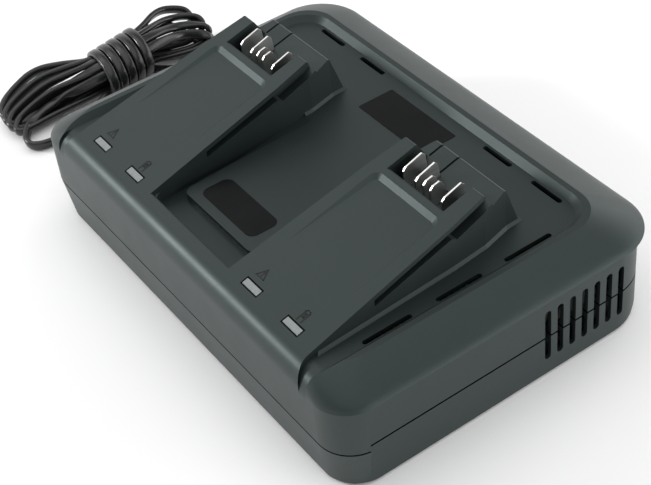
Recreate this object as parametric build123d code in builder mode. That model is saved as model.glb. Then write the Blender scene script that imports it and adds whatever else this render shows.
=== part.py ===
"""Two-bay power tool battery charger with a mains cord tied in a hank.

Millimetres. +X is the vented side, +Y the back, +Z up. The origin is the
bottom centre of the housing, on the plane of the rubber feet.
"""

from build123d import *
import math
import os

os.makedirs("parts", exist_ok=True)

# ---------------------------------------------------------------- housing
case_width = 300.0
case_depth = 208.5
wall = 2.5
foot_height = 1.5
parting_z = 28.1
lip_z = 56.1
floor_z = 66.1
band_z = 69.6
front_radius = 20.0
back_radius = 30.0
bottom_edge_radius = 1.5
base_draft = 2.9
seam_height = 0.8
seam_depth = 0.9
lip_clearance = 0.15
lip_thickness = 1.2
lip_rise = 3.0
lip_root = 5.0

# Side panels lie back from the corner columns and from the rim's lip
panel_inset = 3.3
panel_front_gap = 16.75
panel_corner_radius = 5.0

# Sloping rim, from its lip up to the flat band round the floor
rim_run_side = 19.5
rim_run_back = 24.8
rim_front_run = 12.5
rim_curve = 1.25
rim_top_radius = 20.0
rim_angles = (0, 10, 22, 40, 58, 75, 90)
band_run = 3.4
floor_corner_radius = 16.0

# Inside, the case draws back under its rolled front edge
roll_back_run = 8.75
roll_low_z = 46.0
roll_back_run_top = 16.75

# ------------------------------------------------------------------ docks
# Lengths that end in _run are measured back from the front face of the case
dock_pitch = 152.0
ramp_slope = 0.268
ramp_run = 15.0
ramp_z = 70.5
dock_flare = 42.0
dock_front_half = 37.4
dock_front_run = 9.85
dock_flare_mid = (38.9, 4.45)
dock_waist_half = 33.3
dock_waist_run = 101.5
tongue_half = 31.3
tongue_run = 123.2
tongue_foot = 6.65
block_top_half = 27.1
block_top_run = 140.2
block_top_z = 91.2
block_base_half = 26.75
block_base_run = 148.65
skirt = 1.5
front_roll_radius = 12.0
tongue_edge_radius = 1.2
block_edge_radius = 2.0

# Rails: a slot under the edge of each dock, taller towards the back
rail_thickness = 3.0
rail_slot_front_run = 51.25
rail_slot_front_drop = 6.8
rail_slot_mid_run = 100.75
rail_slot_mid_drop = 7.8
rail_slot_back_drop = 11.0
rail_slot_depth = 5.5

# Shallow panel sunk into the ramp
sunk_front_run = 44.25
sunk_back_run = 97.75
sunk_depth = 1.8
sunk_front_half = 27.0
sunk_back_half = 23.5
sunk_bevel_angle = 60.0

# Contact recess, and the deck behind it with its two keying slots
recess_half = 22.5
recess_front_run = 105.5
recess_length = 16.25
recess_ledge = 1.3
key_slots = ((-22.0, 130.5), (-8.5, 119.5))
key_width = 1.3
key_depth = 1.4
dock_roof = 5.0
dock_cavity_half = 24.0
dock_cavity_run = 26.25

# ------------------------------------------------- floor between the docks
bar_back_run = 14.65
bar_edge_radius = 1.2
trough_z = 61.5
trough_corner_radius = 5.0
pad_front_run = 30.45
pad_gap = 6.0
pad_corner_radius = 5.0
trough_level_run = 69.25
trough_end_run = 117.25
pad_slot_height = 1.3
pad_slot_depth = 1.8
pad_slot_drop = 0.9
pad_slot_wrap = 15.0
badge_size = (50.0, 19.0)
badge_x = -1.5
badge_run = 45.75
badge_radius = 5.0
plate_size = (58.0, 24.0)
plate_x = -1.0
plate_back_gap = 52.05
plate_radius = 1.0
label_thickness = 0.6
label_recess = 0.5

# Drain and air slots in the floor
slot_width = 3.0
back_slot_gap = 34.6
back_slots = ((45.0, 67.4), (84.0, 106.7))
side_slot_gap = 28.5
side_slot_runs = ((35.9, 65.3), (80.4, 108.9), (123.6, 153.8))

# Vents in the right side
vent_count = 7
vent_pitch = 8.2
vent_back_gap = 78.6
vent_width = 4.0
vent_low_z = 12.0
vent_high_z = 45.6

# ------------------------------------------------------------- fastenings
screw_side_gap = 20.0
screw_front_gap = 18.25
screw_back_gap = 26.25
middle_screw_front_gap = 15.25
middle_screw_back_gap = 16.25
screw_radius = 1.5
screw_clearance_radius = 1.75
screw_head_radius = 3.1
screw_head_height = 2.4
screw_bite = 14.0
boss_radius = 4.8
boss_well_radius = 3.6
boss_land = 4.0
boss_top_z = 58.0
foot_side_gap = 40.0
foot_front_gap = 26.25
foot_back_gap = 32.25
foot_radius = 7.0
foot_recess = 1.0
rating_size = (80.0, 40.0)
rating_thickness = 0.3

# --------------------------------------------------------------- contacts
blade_thickness = 1.0
long_blade_offsets = (-17.6, -7.2, 14.0)
long_blade_run = (110.25, 124.65)
long_blade_z = (94.0, 97.5)
long_blade_lean = 0.8
short_blade_offsets = (-1.5, 4.0)
short_blade_run = (110.75, 118.75)
short_blade_z = (94.6, 95.6)
short_blade_lean = 2.0
blade_root_z = 88.5
blade_clearance = 0.3
blade_tail = 4.0
carrier_top_z = 82.0
carrier_flange = 7.0
carrier_flange_thickness = 2.5
carrier_clearance = 0.3
carrier_well = 3.9

# ---------------------------------------------------- indicator windows
window_run = 15.1
window_size = (12.6, 3.5)
window_offsets = (-17.8, 17.8)
window_groove = 0.5
window_groove_depth = 0.5
display_size = (56.0, 16.0)
display_thickness = 1.6
display_top_z = 58.0
display_front_gap = 1.85
led_size = (3.0, 2.0, 1.8)
led_gap = 0.3
stake_radius = 1.2
stake_clearance = 0.1
stake_post_radius = 2.6
stake_pitch = 44.0
stake_run = 25.25

# ------------------------------------------------------------ main board
board_side_gaps = (32.0, 40.0)
board_front_gap = 24.25
board_back_gap = 44.25
board_thickness = 1.6
post_height = 6.0
post_radius = 4.0
post_inset = (9.0, 8.0)
board_screw_head_height = 1.8

# -------------------------------------------------------------------- fan
fan_size = 40.0
fan_depth = 10.0
fan_wall_gap = 5.0
fan_back_gap = 54.0
fan_seat_z = 8.8
fan_bore_radius = 19.0
fan_plate_radius = 11.0
fan_plate_thickness = 1.5
fan_bearing_radius = 2.6
fan_shaft_radius = 1.0
fan_shaft_clearance = 0.05
fan_hub_radius = 10.5
fan_hub_wall = 1.2
fan_hub_gap = 0.6
fan_tip_clearance = 0.7
fan_blade_count = 7
fan_blade_chord = 7.6
fan_blade_pitch = 35.0
cradle_wall = 2.0
cradle_clearance = 0.3
cradle_height = 26.0
cradle_foot = 6.0

# ------------------------------------------------------------------- cord
cord_diameter = 5.2
clamp_side_gap = 13.0
clamp_width = 7.0
clamp_reach = 8.5
clamp_post_radius = 3.2
clamp_thickness = 2.5
clamp_screw_radius = 1.3
clamp_screw_bite = 8.0
clamp_head_radius = 2.6
clamp_head_height = 1.8
exit_back_gap = 42.25
exit_z = 15.0
relief_length = 34.0
relief_base_radius = 5.6
relief_tip_radius = 3.5
relief_neck_radius = 4.6
relief_flange_radius = 7.0
relief_flange_thickness = 2.5
relief_rings = 6
relief_ring_pitch = 4.4
relief_ring_width = 1.8
relief_ring_depth = 0.8
plug_edge = 2.0
plug_width = 35.3
plug_height = 13.7
plug_length = 36.0
plug_nose = 8.0
pin_radius = 2.0
pin_length = 19.0
pin_pitch = 18.6
plug_x = -178.0
plug_back_y = 8.0
sheath_length = 11.0
core_spread = 1.3

# Routes of the cord's two free stretches, each ending inside the hank
lead_points = [
    (-194.0, 61.5, 13.8),
    (-208.0, 58.5, 9.6),
    (-220.0, 53.0, 6.8),
    (-230.0, 46.0, 6.0),
]
plug_lead_points = [
    (-178.0, 22.9, 5.4),
    (-188.5, 33.45, 3.8),
    (-203.5, 33.45, 3.2),
    (-214.0, 22.9, 3.8),
    (-221.0, 9.0, 7.0),
]

# Hank: loops at the front, wraps round the middle, loops at the back. Of each
# section, its y, its left and right sides and its height.
hank_front = (
    (-97.5, -248.0, -212.0, 10.0),
    (-90.0, -257.0, -199.0, 14.0),
    (-74.0, -262.0, -198.5, 18.5),
    (-56.0, -262.0, -201.0, 22.5),
    (-38.0, -254.0, -207.0, 25.5),
    (-26.0, -249.0, -209.0, 26.0),
)
hank_waist = (
    (-32.0, -248.0, -206.5, 31.0),
    (-9.0, -253.0, -210.0, 31.0),
    (13.0, -257.0, -214.0, 31.0),
)
hank_back = (
    (10.0, -255.0, -216.0, 26.0),
    (24.0, -259.0, -215.0, 25.5),
    (40.0, -262.0, -214.5, 24.0),
    (52.0, -259.0, -216.0, 21.0),
    (60.0, -250.0, -224.0, 14.0),
)

# ----------------------------------------------- parts on the main board
capacitor_places = ((-58.0, 30.0),)
capacitor_radius = 12.0
capacitor_height = 28.0
output_places = ((32.0, 28.0), (45.0, 28.0), (58.0, 28.0), (71.0, 28.0))
output_radius = 5.0
output_height = 20.0
film_x = -96.0
film_back_inset = 32.0
film_size = (26.0, 11.0, 18.0)
bridge_places = ((-94.0, -44.0),)
bridge_size = (24.0, 5.0, 18.0)
chip_y = -62.0
chip_xs = (10.0, 30.0)
fan_chip_inset = 26.0
fan_chip_y = 44.0
chip_size = (9.0, 7.0, 1.8)
transistor_places = ((-58.0, -52.0), (-42.0, -52.0), (34.0, -52.0), (50.0, -52.0))
transistor_size = (10.0, 4.5, 16.0)
fuse_inset = (28.0, 16.0)
fuse_length = 20.0
fuse_radius = 2.6
fuse_cap = 5.0
choke_x = -24.0
choke_back_inset = 20.0
choke_outer_radius = 10.0
choke_inner_radius = 5.5
choke_height = 8.0
choke_wire = 1.2
choke_split = 2.5
transformer_place = (-8.0, -8.0)
core_width = 42.0
core_depth = 15.0
core_height = 36.0
core_leg = 12.0
core_window = 9.0
sink_xs = {"left": -50.0, "right": 42.0}
sink_y = -48.0
sink_width = 44.0
sink_plate = 3.5
sink_reach = 8.0
sink_height = 30.0
sink_fins = 7
sink_fin_thickness = 1.6
socket_y = -30.0
socket_size = (8.0, 8.0, 10.0)
wire_radius = 1.1
wire_bend = 5.0
wire_run_z = 46.0
wire_end_run = 117.45
mains_socket_inset = (8.0, 18.0)
mains_socket_size = (10.0, 10.0, 9.0)
fan_socket_inset = 8.0
fan_socket_size = (6.0, 6.0, 7.0)
fan_wire_drop = 10.25
fan_wire_z = 30.0

# Derived places shared by more than one piece
front_y = -case_depth / 2
back_y = case_depth / 2
side_x = case_width / 2
panel_front_y = front_y + panel_front_gap
roll_back_y = front_y + roll_back_run
ramp_y = front_y + ramp_run
dock_front_y = front_y + dock_front_run
dock_waist_y = front_y + dock_waist_run
tongue_y = front_y + tongue_run
block_top_y = front_y + block_top_run
block_base_y = front_y + block_base_run
rail_slot_front_y = front_y + rail_slot_front_run
rail_slot_mid_y = front_y + rail_slot_mid_run
sunk_front_y = front_y + sunk_front_run
sunk_back_y = front_y + sunk_back_run
recess_front_y = front_y + recess_front_run
recess_back_y = recess_front_y + recess_length
dock_cavity_front_y = front_y + dock_cavity_run
bar_back_y = front_y + bar_back_run
pad_front_y = front_y + pad_front_run
trough_level_y = front_y + trough_level_run
trough_end_y = front_y + trough_end_run
badge_centre = (badge_x, front_y + badge_run)
plate_centre = (plate_x, back_y - plate_back_gap)
back_slot_y = back_y - back_slot_gap
side_slot_x = side_x - side_slot_gap
vent_first_y = back_y - vent_back_gap
screw_places = [
    (screw_x, screw_y)
    for screw_x in (screw_side_gap - side_x, side_x - screw_side_gap)
    for screw_y in (front_y + screw_front_gap, back_y - screw_back_gap)
] + [(0, front_y + middle_screw_front_gap), (0, back_y - middle_screw_back_gap)]
foot_places = [
    (foot_x, foot_y)
    for foot_x in (foot_side_gap - side_x, side_x - foot_side_gap)
    for foot_y in (front_y + foot_front_gap, back_y - foot_back_gap)
]
window_y = front_y + window_run
stake_y = front_y + stake_run
inner_side_x = side_x - panel_inset - wall
inner_front_y = front_y + wall
inner_back_y = back_y - panel_inset - wall
inner_front_radius = front_radius - wall
inner_back_radius = back_radius - panel_inset - wall
base_z = foot_height
inner_base_z = base_z + wall
ceiling_z = floor_z - wall
board_z = inner_base_z + post_height
board_top_z = board_z + board_thickness
board_left_x = board_side_gaps[0] - side_x
board_right_x = side_x - board_side_gaps[1]
board_front_y = front_y + board_front_gap
board_back_y = back_y - board_back_gap
board_size = (board_right_x - board_left_x, board_back_y - board_front_y)
board_centre = ((board_left_x + board_right_x) / 2, (board_front_y + board_back_y) / 2)
post_pitch = (board_size[0] / 2 - post_inset[0], board_size[1] - 2 * post_inset[1])
film_places = [(film_x, board_back_y - film_back_inset)]
chip_places = [(chip_x, chip_y) for chip_x in chip_xs]
chip_places.append((board_right_x - fan_chip_inset, fan_chip_y))
fuse_place = (board_left_x + fuse_inset[0], board_back_y - fuse_inset[1])
choke_place = (choke_x, board_back_y - choke_back_inset)
mains_socket_places = [
    (board_left_x + mains_socket_inset[0], board_back_y - mains_socket_inset[1])
]
dock_xs = {"left": -dock_pitch / 2, "right": dock_pitch / 2}
floor_half = side_x - rim_run_side - band_run - (band_z - floor_z)
floor_back_y = back_y - rim_run_back - band_run - (band_z - floor_z)
trough_block_z = trough_z - wall
blade_low_z = ceiling_z - carrier_flange_thickness - blade_tail
window_low_z = display_top_z + led_size[2] + led_gap
display_centre_y = window_y - display_front_gap + display_size[1] / 2
socket_top_z = board_top_z + socket_size[2]
socket_places = [
    (dock_x + blade_x, socket_y)
    for dock_x in dock_xs.values()
    for blade_x in (long_blade_offsets[0], long_blade_offsets[-1])
]
fan_x = inner_side_x - fan_wall_gap
fan_centre_y = back_y - fan_back_gap
fan_wire_y = fan_centre_y - fan_wire_drop
fan_socket_places = [(board_right_x - fan_socket_inset, fan_wire_y)]
fan_centre_z = fan_seat_z + fan_size / 2
clamp_x = clamp_side_gap - side_x
exit_y = back_y - exit_back_gap
clamp_z = exit_z + cord_diameter / 2
beyond = 60.0


def ramp_height(y):
    """Height of the ramp's plane at y."""
    return ramp_z + (y - ramp_y) * ramp_slope


def deck_height(y):
    """Height at y of the deck between the rails, which rises as the ramp does."""
    return block_top_z - (block_top_y - y) * ramp_slope


def dock_half(y):
    """Half width of a dock at y, along its long straight side."""
    share = (y - dock_front_y) / (dock_waist_y - dock_front_y)
    return dock_front_half + (dock_waist_half - dock_front_half) * share


def outline(half, front, back, front_r, back_r):
    """Plan outline with one radius at the front corners and one at the back."""
    with BuildSketch() as plan:
        with BuildLine():
            FilletPolyline(
                (half, front),
                (half, back),
                (-half, back),
                (-half, front),
                radius=[front_r, back_r, back_r, front_r],
                close=True,
            )
        make_face()
    return plan.sketch


def profile(points, radii=None):
    """Closed profile through the points, with a radius for each corner."""
    with BuildSketch() as shape:
        with BuildLine():
            FilletPolyline(*points, radius=radii or [0] * len(points), close=True)
        make_face()
    return shape.sketch


def mirrored_plan(right_side):
    """Plan polygon, symmetric about the YZ plane, from its right-hand points."""
    left_side = [(-x, y) for x, y in reversed(right_side)]
    with BuildSketch() as plan:
        with BuildLine():
            Polyline(*right_side, *left_side, close=True)
        make_face()
    return plan.sketch


def rail_plan(inset):
    """Plan of a dock behind its flare, drawn in by inset on both sides."""
    return mirrored_plan(
        [
            (dock_half(front_y) - inset, front_y),
            (dock_waist_half - inset, dock_waist_y),
            (tongue_half - inset, tongue_y),
            (block_top_half - inset, block_top_y),
            (block_base_half - inset, block_base_y + inset),
        ]
    )


def save(builder, name):
    """Label a finished piece and write it as its own STEP file."""
    builder.part.label = name
    export_step(builder.part, f"parts/{name}.step")


# ---------------------------------------------------- shapes used to cut
# Sides and back of both shells lie back from the corner columns
with BuildPart() as panel_cutter:
    with BuildSketch(Plane.XY):
        with Locations((0, panel_front_y)):
            Rectangle(
                case_width + beyond, case_depth + beyond, align=(Align.CENTER, Align.MIN)
            )
        add(
            outline(
                side_x - panel_inset,
                front_y - beyond,
                back_y - panel_inset,
                0,
                back_radius - panel_inset,
            ),
            mode=Mode.SUBTRACT,
        )
    extrude(amount=case_width)
    with BuildSketch(Plane.YZ.offset(-case_width)):
        add(
            profile(
                [
                    (panel_front_y, -beyond),
                    (panel_front_y, lip_z),
                    (case_depth, lip_z),
                    (case_depth, -beyond),
                ],
                [0, panel_corner_radius, 0, 0],
            )
        )
    extrude(amount=2 * case_width, mode=Mode.INTERSECT)

# Tall slots of the vents, cut through both shells at the right side
with BuildPart() as vent_cutter:
    with BuildSketch(Plane.YZ.offset(inner_side_x - wall)):
        for index in range(vent_count):
            with Locations(
                (vent_first_y + vent_pitch * index, (vent_low_z + vent_high_z) / 2)
            ):
                SlotOverall(vent_high_z - vent_low_z, vent_width, rotation=90)
    extrude(amount=wall + case_width)

# One dock, standing on the floor at x = 0, with its front rolled over
with BuildPart() as dock_form:
    with BuildSketch(Plane.XY):
        with BuildLine():
            flare_end = (dock_front_half, dock_front_y)
            flare_start = (dock_flare, front_y)
            flare_mid_half, flare_mid_run = dock_flare_mid
            flare_mid_y = front_y + flare_mid_run
            ThreePointArc(flare_start, (flare_mid_half, flare_mid_y), flare_end)
            Polyline(
                flare_end,
                (dock_waist_half, dock_waist_y),
                (tongue_half, tongue_y),
                (block_top_half, block_top_y),
                (block_base_half, block_base_y),
                (-block_base_half, block_base_y),
                (-block_top_half, block_top_y),
                (-tongue_half, tongue_y),
                (-dock_waist_half, dock_waist_y),
                (-dock_front_half, dock_front_y),
            )
            ThreePointArc(
                (-dock_front_half, dock_front_y),
                (-flare_mid_half, flare_mid_y),
                (-dock_flare, front_y),
            )
            Line((-dock_flare, front_y), flare_start)
        make_face()
    extrude(amount=case_width)
    with BuildSketch(Plane.YZ.offset(-case_width / 2)):
        add(
            profile(
                [
                    (front_y, roll_low_z),
                    (front_y, ramp_height(front_y)),
                    (tongue_y, ramp_height(tongue_y)),
                    (tongue_y + tongue_foot, deck_height(tongue_y + tongue_foot)),
                    (block_top_y, block_top_z),
                    (block_base_y, floor_z),
                    (block_base_y, ceiling_z + wall / 2),
                    (roll_back_y, ceiling_z + wall / 2),
                ],
                [0, front_roll_radius, tongue_edge_radius, 0, block_edge_radius, 0, 0, 0],
            )
        )
    extrude(amount=case_width, mode=Mode.INTERSECT)
    # Skirt: a small slope all round the foot of the dock
    with BuildSketch(Plane.XY.offset(floor_z)):
        add(
            mirrored_plan(
                [
                    (dock_half(bar_back_y) + skirt, bar_back_y),
                    (dock_waist_half + skirt, dock_waist_y),
                    (tongue_half + skirt, tongue_y),
                    (block_top_half + skirt, block_top_y),
                    (block_base_half + skirt, block_base_y + skirt),
                ]
            )
        )
    extrude(amount=skirt, taper=45)

# Slots under the edges of one dock, in which a battery's rails slide
with BuildPart() as rail_cutter:
    past_y = block_base_y + wall
    with BuildSketch(Plane.YZ.offset(-dock_flare)):
        add(
            profile(
                [
                    (rail_slot_front_y, ramp_height(rail_slot_front_y) - rail_thickness),
                    (past_y, ramp_height(past_y) - rail_thickness),
                    (past_y, ramp_height(past_y) - rail_slot_back_drop),
                    (0, ramp_height(0) - rail_slot_back_drop),
                    (rail_slot_mid_y, ramp_height(rail_slot_mid_y) - rail_slot_mid_drop),
                    (
                        rail_slot_front_y,
                        ramp_height(rail_slot_front_y) - rail_slot_front_drop,
                    ),
                ]
            )
        )
    extrude(amount=2 * dock_flare)
    with BuildSketch(Plane.XY):
        add(rail_plan(rail_slot_depth))
    extrude(amount=case_width, mode=Mode.SUBTRACT)

# Shallow panel sunk into one ramp, fading out towards the front
with BuildPart() as sunk_cutter:
    sunk_angle = math.atan2(
        ramp_height(sunk_back_y) - sunk_depth - ramp_height(sunk_front_y),
        sunk_back_y - sunk_front_y,
    )
    sunk_length = (sunk_back_y - sunk_front_y) / math.cos(sunk_angle)
    sunk_plane = Plane(
        origin=(0, sunk_front_y, ramp_height(sunk_front_y)),
        x_dir=(1, 0, 0),
        z_dir=(0, -math.sin(sunk_angle), math.cos(sunk_angle)),
    )
    with BuildSketch(sunk_plane):
        add(
            profile(
                [
                    (sunk_front_half, -wall),
                    (sunk_back_half, sunk_length),
                    (-sunk_back_half, sunk_length),
                    (-sunk_front_half, -wall),
                ],
                [0, wall, wall, 0],
            )
        )
    extrude(amount=2 * sunk_depth, taper=-sunk_bevel_angle)

# Contact recess of one dock, its front ledge, the deck behind it, and the
# slots in the deck for the long blades and for the battery's keys
with BuildPart() as recess_cutter:
    with BuildSketch(Plane.XY.offset(ceiling_z)):
        with Locations((0, (recess_front_y + recess_back_y) / 2)):
            Rectangle(2 * recess_half, recess_length)
        for blade_x in long_blade_offsets:
            with Locations((blade_x, recess_front_y)):
                Rectangle(
                    blade_thickness + 2 * blade_clearance,
                    long_blade_run[1] + long_blade_lean + blade_clearance - recess_front_run,
                    align=(Align.CENTER, Align.MIN),
                )
    extrude(amount=case_width)
    with BuildSketch(Plane.XY.offset(ramp_height(recess_front_y) - recess_ledge)):
        with Locations((0, recess_front_y)):
            Rectangle(2 * recess_half, 2 * recess_ledge)
    extrude(amount=case_width)
    past_y = block_base_y + wall
    with BuildSketch(Plane.YZ.offset(-recess_half)):
        add(
            profile(
                [
                    (recess_front_y, deck_height(recess_front_y)),
                    (past_y, deck_height(past_y)),
                    (past_y, case_width),
                    (recess_front_y, case_width),
                ]
            )
        )
    extrude(amount=2 * recess_half)
    for key_offset, key_run in key_slots:
        key_y = front_y + key_run
        with BuildSketch(Plane.YZ.offset(key_offset - key_width / 2)):
            add(
                profile(
                    [
                        (key_y, deck_height(key_y) - key_depth),
                        (past_y, deck_height(past_y) - key_depth),
                        (past_y, case_width),
                        (key_y, case_width),
                    ]
                )
            )
        extrude(amount=key_width)

# Hollow under one dock, left open to the inside of the case
with BuildPart() as dock_hollow:
    with BuildSketch(Plane.YZ.offset(-dock_cavity_half)):
        hollow_step_y = recess_front_y - wall
        hollow_back_y = block_top_y - wall
        add(
            profile(
                [
                    (dock_cavity_front_y, ceiling_z - wall),
                    (dock_cavity_front_y, ramp_height(dock_cavity_front_y) - dock_roof),
                    (hollow_step_y, ramp_height(hollow_step_y) - dock_roof),
                    (hollow_step_y, deck_height(hollow_step_y) - dock_roof),
                    (hollow_back_y, deck_height(hollow_back_y) - dock_roof),
                    (block_base_y - 2 * wall, floor_z),
                    (block_base_y - 2 * wall, ceiling_z - wall),
                ]
            )
        )
    extrude(amount=2 * dock_cavity_half)

# Trough round the raised pad between the docks
with BuildPart() as trough_cutter:
    trough_front_half = dock_pitch / 2 - dock_half(bar_back_y)
    trough_waist_half = dock_pitch / 2 - dock_waist_half
    trough_end_half = dock_pitch / 2 - tongue_half
    with BuildSketch(Plane.XY.offset(trough_z)):
        add(
            profile(
                [
                    (trough_front_half, bar_back_y),
                    (trough_waist_half, dock_waist_y),
                    (trough_end_half, tongue_y),
                    (-trough_end_half, tongue_y),
                    (-trough_waist_half, dock_waist_y),
                    (-trough_front_half, bar_back_y),
                ],
                [trough_corner_radius, 0, 0, 0, 0, trough_corner_radius],
            )
        )
    extrude(amount=floor_z)
    with BuildSketch(Plane.XY.offset(trough_z)):
        pad_front_half = dock_pitch / 2 - dock_half(pad_front_y) - pad_gap
        add(
            profile(
                [
                    (pad_front_half, pad_front_y),
                    (trough_waist_half - pad_gap, dock_waist_y),
                    (trough_end_half - pad_gap, case_depth),
                    (-trough_end_half + pad_gap, case_depth),
                    (-trough_waist_half + pad_gap, dock_waist_y),
                    (-pad_front_half, pad_front_y),
                ],
                [pad_corner_radius, 0, 0, 0, 0, pad_corner_radius],
            )
        )
    extrude(amount=floor_z - trough_z, mode=Mode.SUBTRACT)
    with BuildSketch(Plane.YZ.offset(-case_width / 2)):
        add(
            profile(
                [
                    (front_y, trough_z),
                    (trough_level_y, trough_z),
                    (trough_end_y, floor_z),
                    (trough_end_y, 2 * floor_z),
                    (front_y, 2 * floor_z),
                ]
            )
        )
    extrude(amount=case_width, mode=Mode.INTERSECT)

# Thin shadow slot under the front edge of the pad's top
with BuildPart() as pad_slot_cutter:
    slot_top_z = floor_z - pad_slot_drop
    with BuildSketch(Plane.XY.offset(slot_top_z - pad_slot_height)):
        with Locations((0, pad_front_y - pad_gap / 2)):
            Rectangle(
                2 * pad_front_half + pad_gap,
                pad_slot_wrap + pad_gap / 2,
                align=(Align.CENTER, Align.MIN),
            )
        with Locations((0, pad_front_y + pad_slot_depth)):
            Rectangle(
                2 * (pad_front_half - pad_slot_depth),
                pad_slot_wrap,
                align=(Align.CENTER, Align.MIN),
                mode=Mode.SUBTRACT,
            )
    extrude(amount=pad_slot_height)

# ---------------------------------------------------------- upper housing
with BuildPart() as upper_housing:
    with BuildSketch(Plane.XY.offset(parting_z)):
        add(outline(side_x, front_y, back_y, front_radius, back_radius))
    extrude(amount=lip_z - parting_z)
    # Rim: rolled over at the front, sloping in from the lip on the other sides
    for angle in rim_angles:
        rise = math.sin(math.radians(angle))
        with BuildSketch(Plane.XY.offset(lip_z + (band_z - lip_z) * rise)):
            add(
                outline(
                    side_x - rim_run_side * rise**rim_curve,
                    front_y + rim_front_run * (1 - math.cos(math.radians(angle))),
                    back_y - rim_run_back * rise**rim_curve,
                    front_radius,
                    back_radius + (rim_top_radius - back_radius) * rise,
                )
            )
    loft()
    add(panel_cutter.part, mode=Mode.SUBTRACT)
    # Sunken floor, open to the front, with a 45 degree wall up to the band
    with BuildSketch(Plane.XY.offset(floor_z)):
        add(outline(floor_half, front_y - beyond, floor_back_y, 0, floor_corner_radius))
    extrude(amount=band_z - floor_z + wall, taper=-45, mode=Mode.SUBTRACT)
    # The floor rolls over the front edge at the ends of the outer channels
    with BuildSketch(Plane.YZ.offset(-floor_half)):
        add(
            profile(
                [
                    (dock_cavity_front_y, floor_z),
                    (front_y, floor_z),
                    (front_y, roll_low_z),
                    (front_y - beyond, roll_low_z),
                    (front_y - beyond, floor_z + beyond),
                    (dock_cavity_front_y, floor_z + beyond),
                ],
                [0, front_roll_radius, 0, 0, 0, 0],
            )
        )
    extrude(amount=2 * floor_half, mode=Mode.SUBTRACT)
    # Bar along the front, which carries the slope of the ramps on between the docks
    with BuildSketch(Plane.YZ.offset(-dock_pitch / 2)):
        add(
            profile(
                [
                    (front_y, roll_low_z),
                    (front_y, ramp_height(front_y)),
                    (bar_back_y, ramp_height(bar_back_y)),
                    (bar_back_y, ceiling_z + wall / 2),
                    (roll_back_y, ceiling_z + wall / 2),
                ],
                [0, front_roll_radius, bar_edge_radius, 0, 0],
            )
        )
    extrude(amount=dock_pitch)
    for dock_x in dock_xs.values():
        with Locations((dock_x, 0, 0)):
            add(dock_form.part)
    # Inside of the case, drawn in under the rim and the front roll
    with BuildSketch(Plane.XY.offset(parting_z)):
        add(
            outline(
                inner_side_x, inner_front_y, inner_back_y, inner_front_radius, inner_back_radius
            )
        )
    extrude(amount=roll_low_z - parting_z, mode=Mode.SUBTRACT)
    with BuildSketch(Plane.XY.offset(roll_low_z)):
        add(
            outline(
                inner_side_x, inner_front_y, inner_back_y, inner_front_radius, inner_back_radius
            )
        )
    with BuildSketch(Plane.XY.offset(ceiling_z)):
        add(
            outline(
                side_x - rim_run_side,
                front_y + roll_back_run_top,
                back_y - rim_run_back,
                inner_front_radius,
                inner_back_radius,
            )
        )
    loft(mode=Mode.SUBTRACT)
    for dock_x in dock_xs.values():
        with Locations((dock_x, 0, 0)):
            add(dock_hollow.part, mode=Mode.SUBTRACT)
    # Thicker floor under the trough, then the trough itself
    with BuildSketch(Plane.XY.offset(trough_block_z)):
        with Locations((0, roll_back_y)):
            Rectangle(
                2 * trough_end_half,
                trough_end_y + wall - roll_back_y,
                align=(Align.CENTER, Align.MIN),
            )
    extrude(amount=floor_z - trough_block_z)
    add(trough_cutter.part, mode=Mode.SUBTRACT)
    add(pad_slot_cutter.part, mode=Mode.SUBTRACT)
    for dock_x in dock_xs.values():
        with Locations((dock_x, 0, 0)):
            add(rail_cutter.part, mode=Mode.SUBTRACT)
            add(sunk_cutter.part, mode=Mode.SUBTRACT)
            add(recess_cutter.part, mode=Mode.SUBTRACT)
        # Holes for the indicator windows, with a shallow groove round each
        with BuildSketch(Plane.XY.offset(roll_low_z)):
            for window_offset in window_offsets:
                with Locations((dock_x + window_offset, window_y)):
                    Rectangle(*window_size)
        extrude(amount=floor_z, mode=Mode.SUBTRACT)
        groove_z = ramp_height(window_y - window_size[1] / 2) - window_groove_depth
        with BuildSketch(Plane.XY.offset(groove_z)):
            for window_offset in window_offsets:
                with Locations((dock_x + window_offset, window_y)):
                    RectangleRounded(
                        window_size[0] + 2 * window_groove,
                        window_size[1] + 2 * window_groove,
                        window_groove,
                    )
        extrude(amount=floor_z, mode=Mode.SUBTRACT)
    # Slots through the floor
    with BuildSketch(Plane.XY.offset(ceiling_z - wall)):
        for near_x, far_x in back_slots:
            for middle_x in ((near_x + far_x) / 2, -(near_x + far_x) / 2):
                with Locations((middle_x, back_slot_y)):
                    SlotOverall(far_x - near_x, slot_width)
        for near_run, far_run in side_slot_runs:
            for middle_x in (side_slot_x, -side_slot_x):
                with Locations((middle_x, front_y + (near_run + far_run) / 2)):
                    SlotOverall(far_run - near_run, slot_width, rotation=90)
    extrude(amount=floor_z, mode=Mode.SUBTRACT)
    add(vent_cutter.part, mode=Mode.SUBTRACT)
    # Recesses for the two bare plates
    with BuildSketch(Plane.XY.offset(floor_z - label_recess)):
        with Locations(badge_centre):
            RectangleRounded(*badge_size, badge_radius)
        with Locations(plate_centre):
            RectangleRounded(*plate_size, plate_radius)
    extrude(amount=label_recess, mode=Mode.SUBTRACT)
    # Screw bosses down to the parting line
    with BuildSketch(Plane.XY.offset(parting_z)):
        with Locations(*screw_places):
            Circle(boss_radius)
    extrude(amount=boss_top_z - parting_z)
    with BuildSketch(Plane.XY.offset(parting_z)):
        with Locations(*screw_places):
            Circle(screw_radius)
    extrude(amount=screw_bite, mode=Mode.SUBTRACT)
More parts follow.
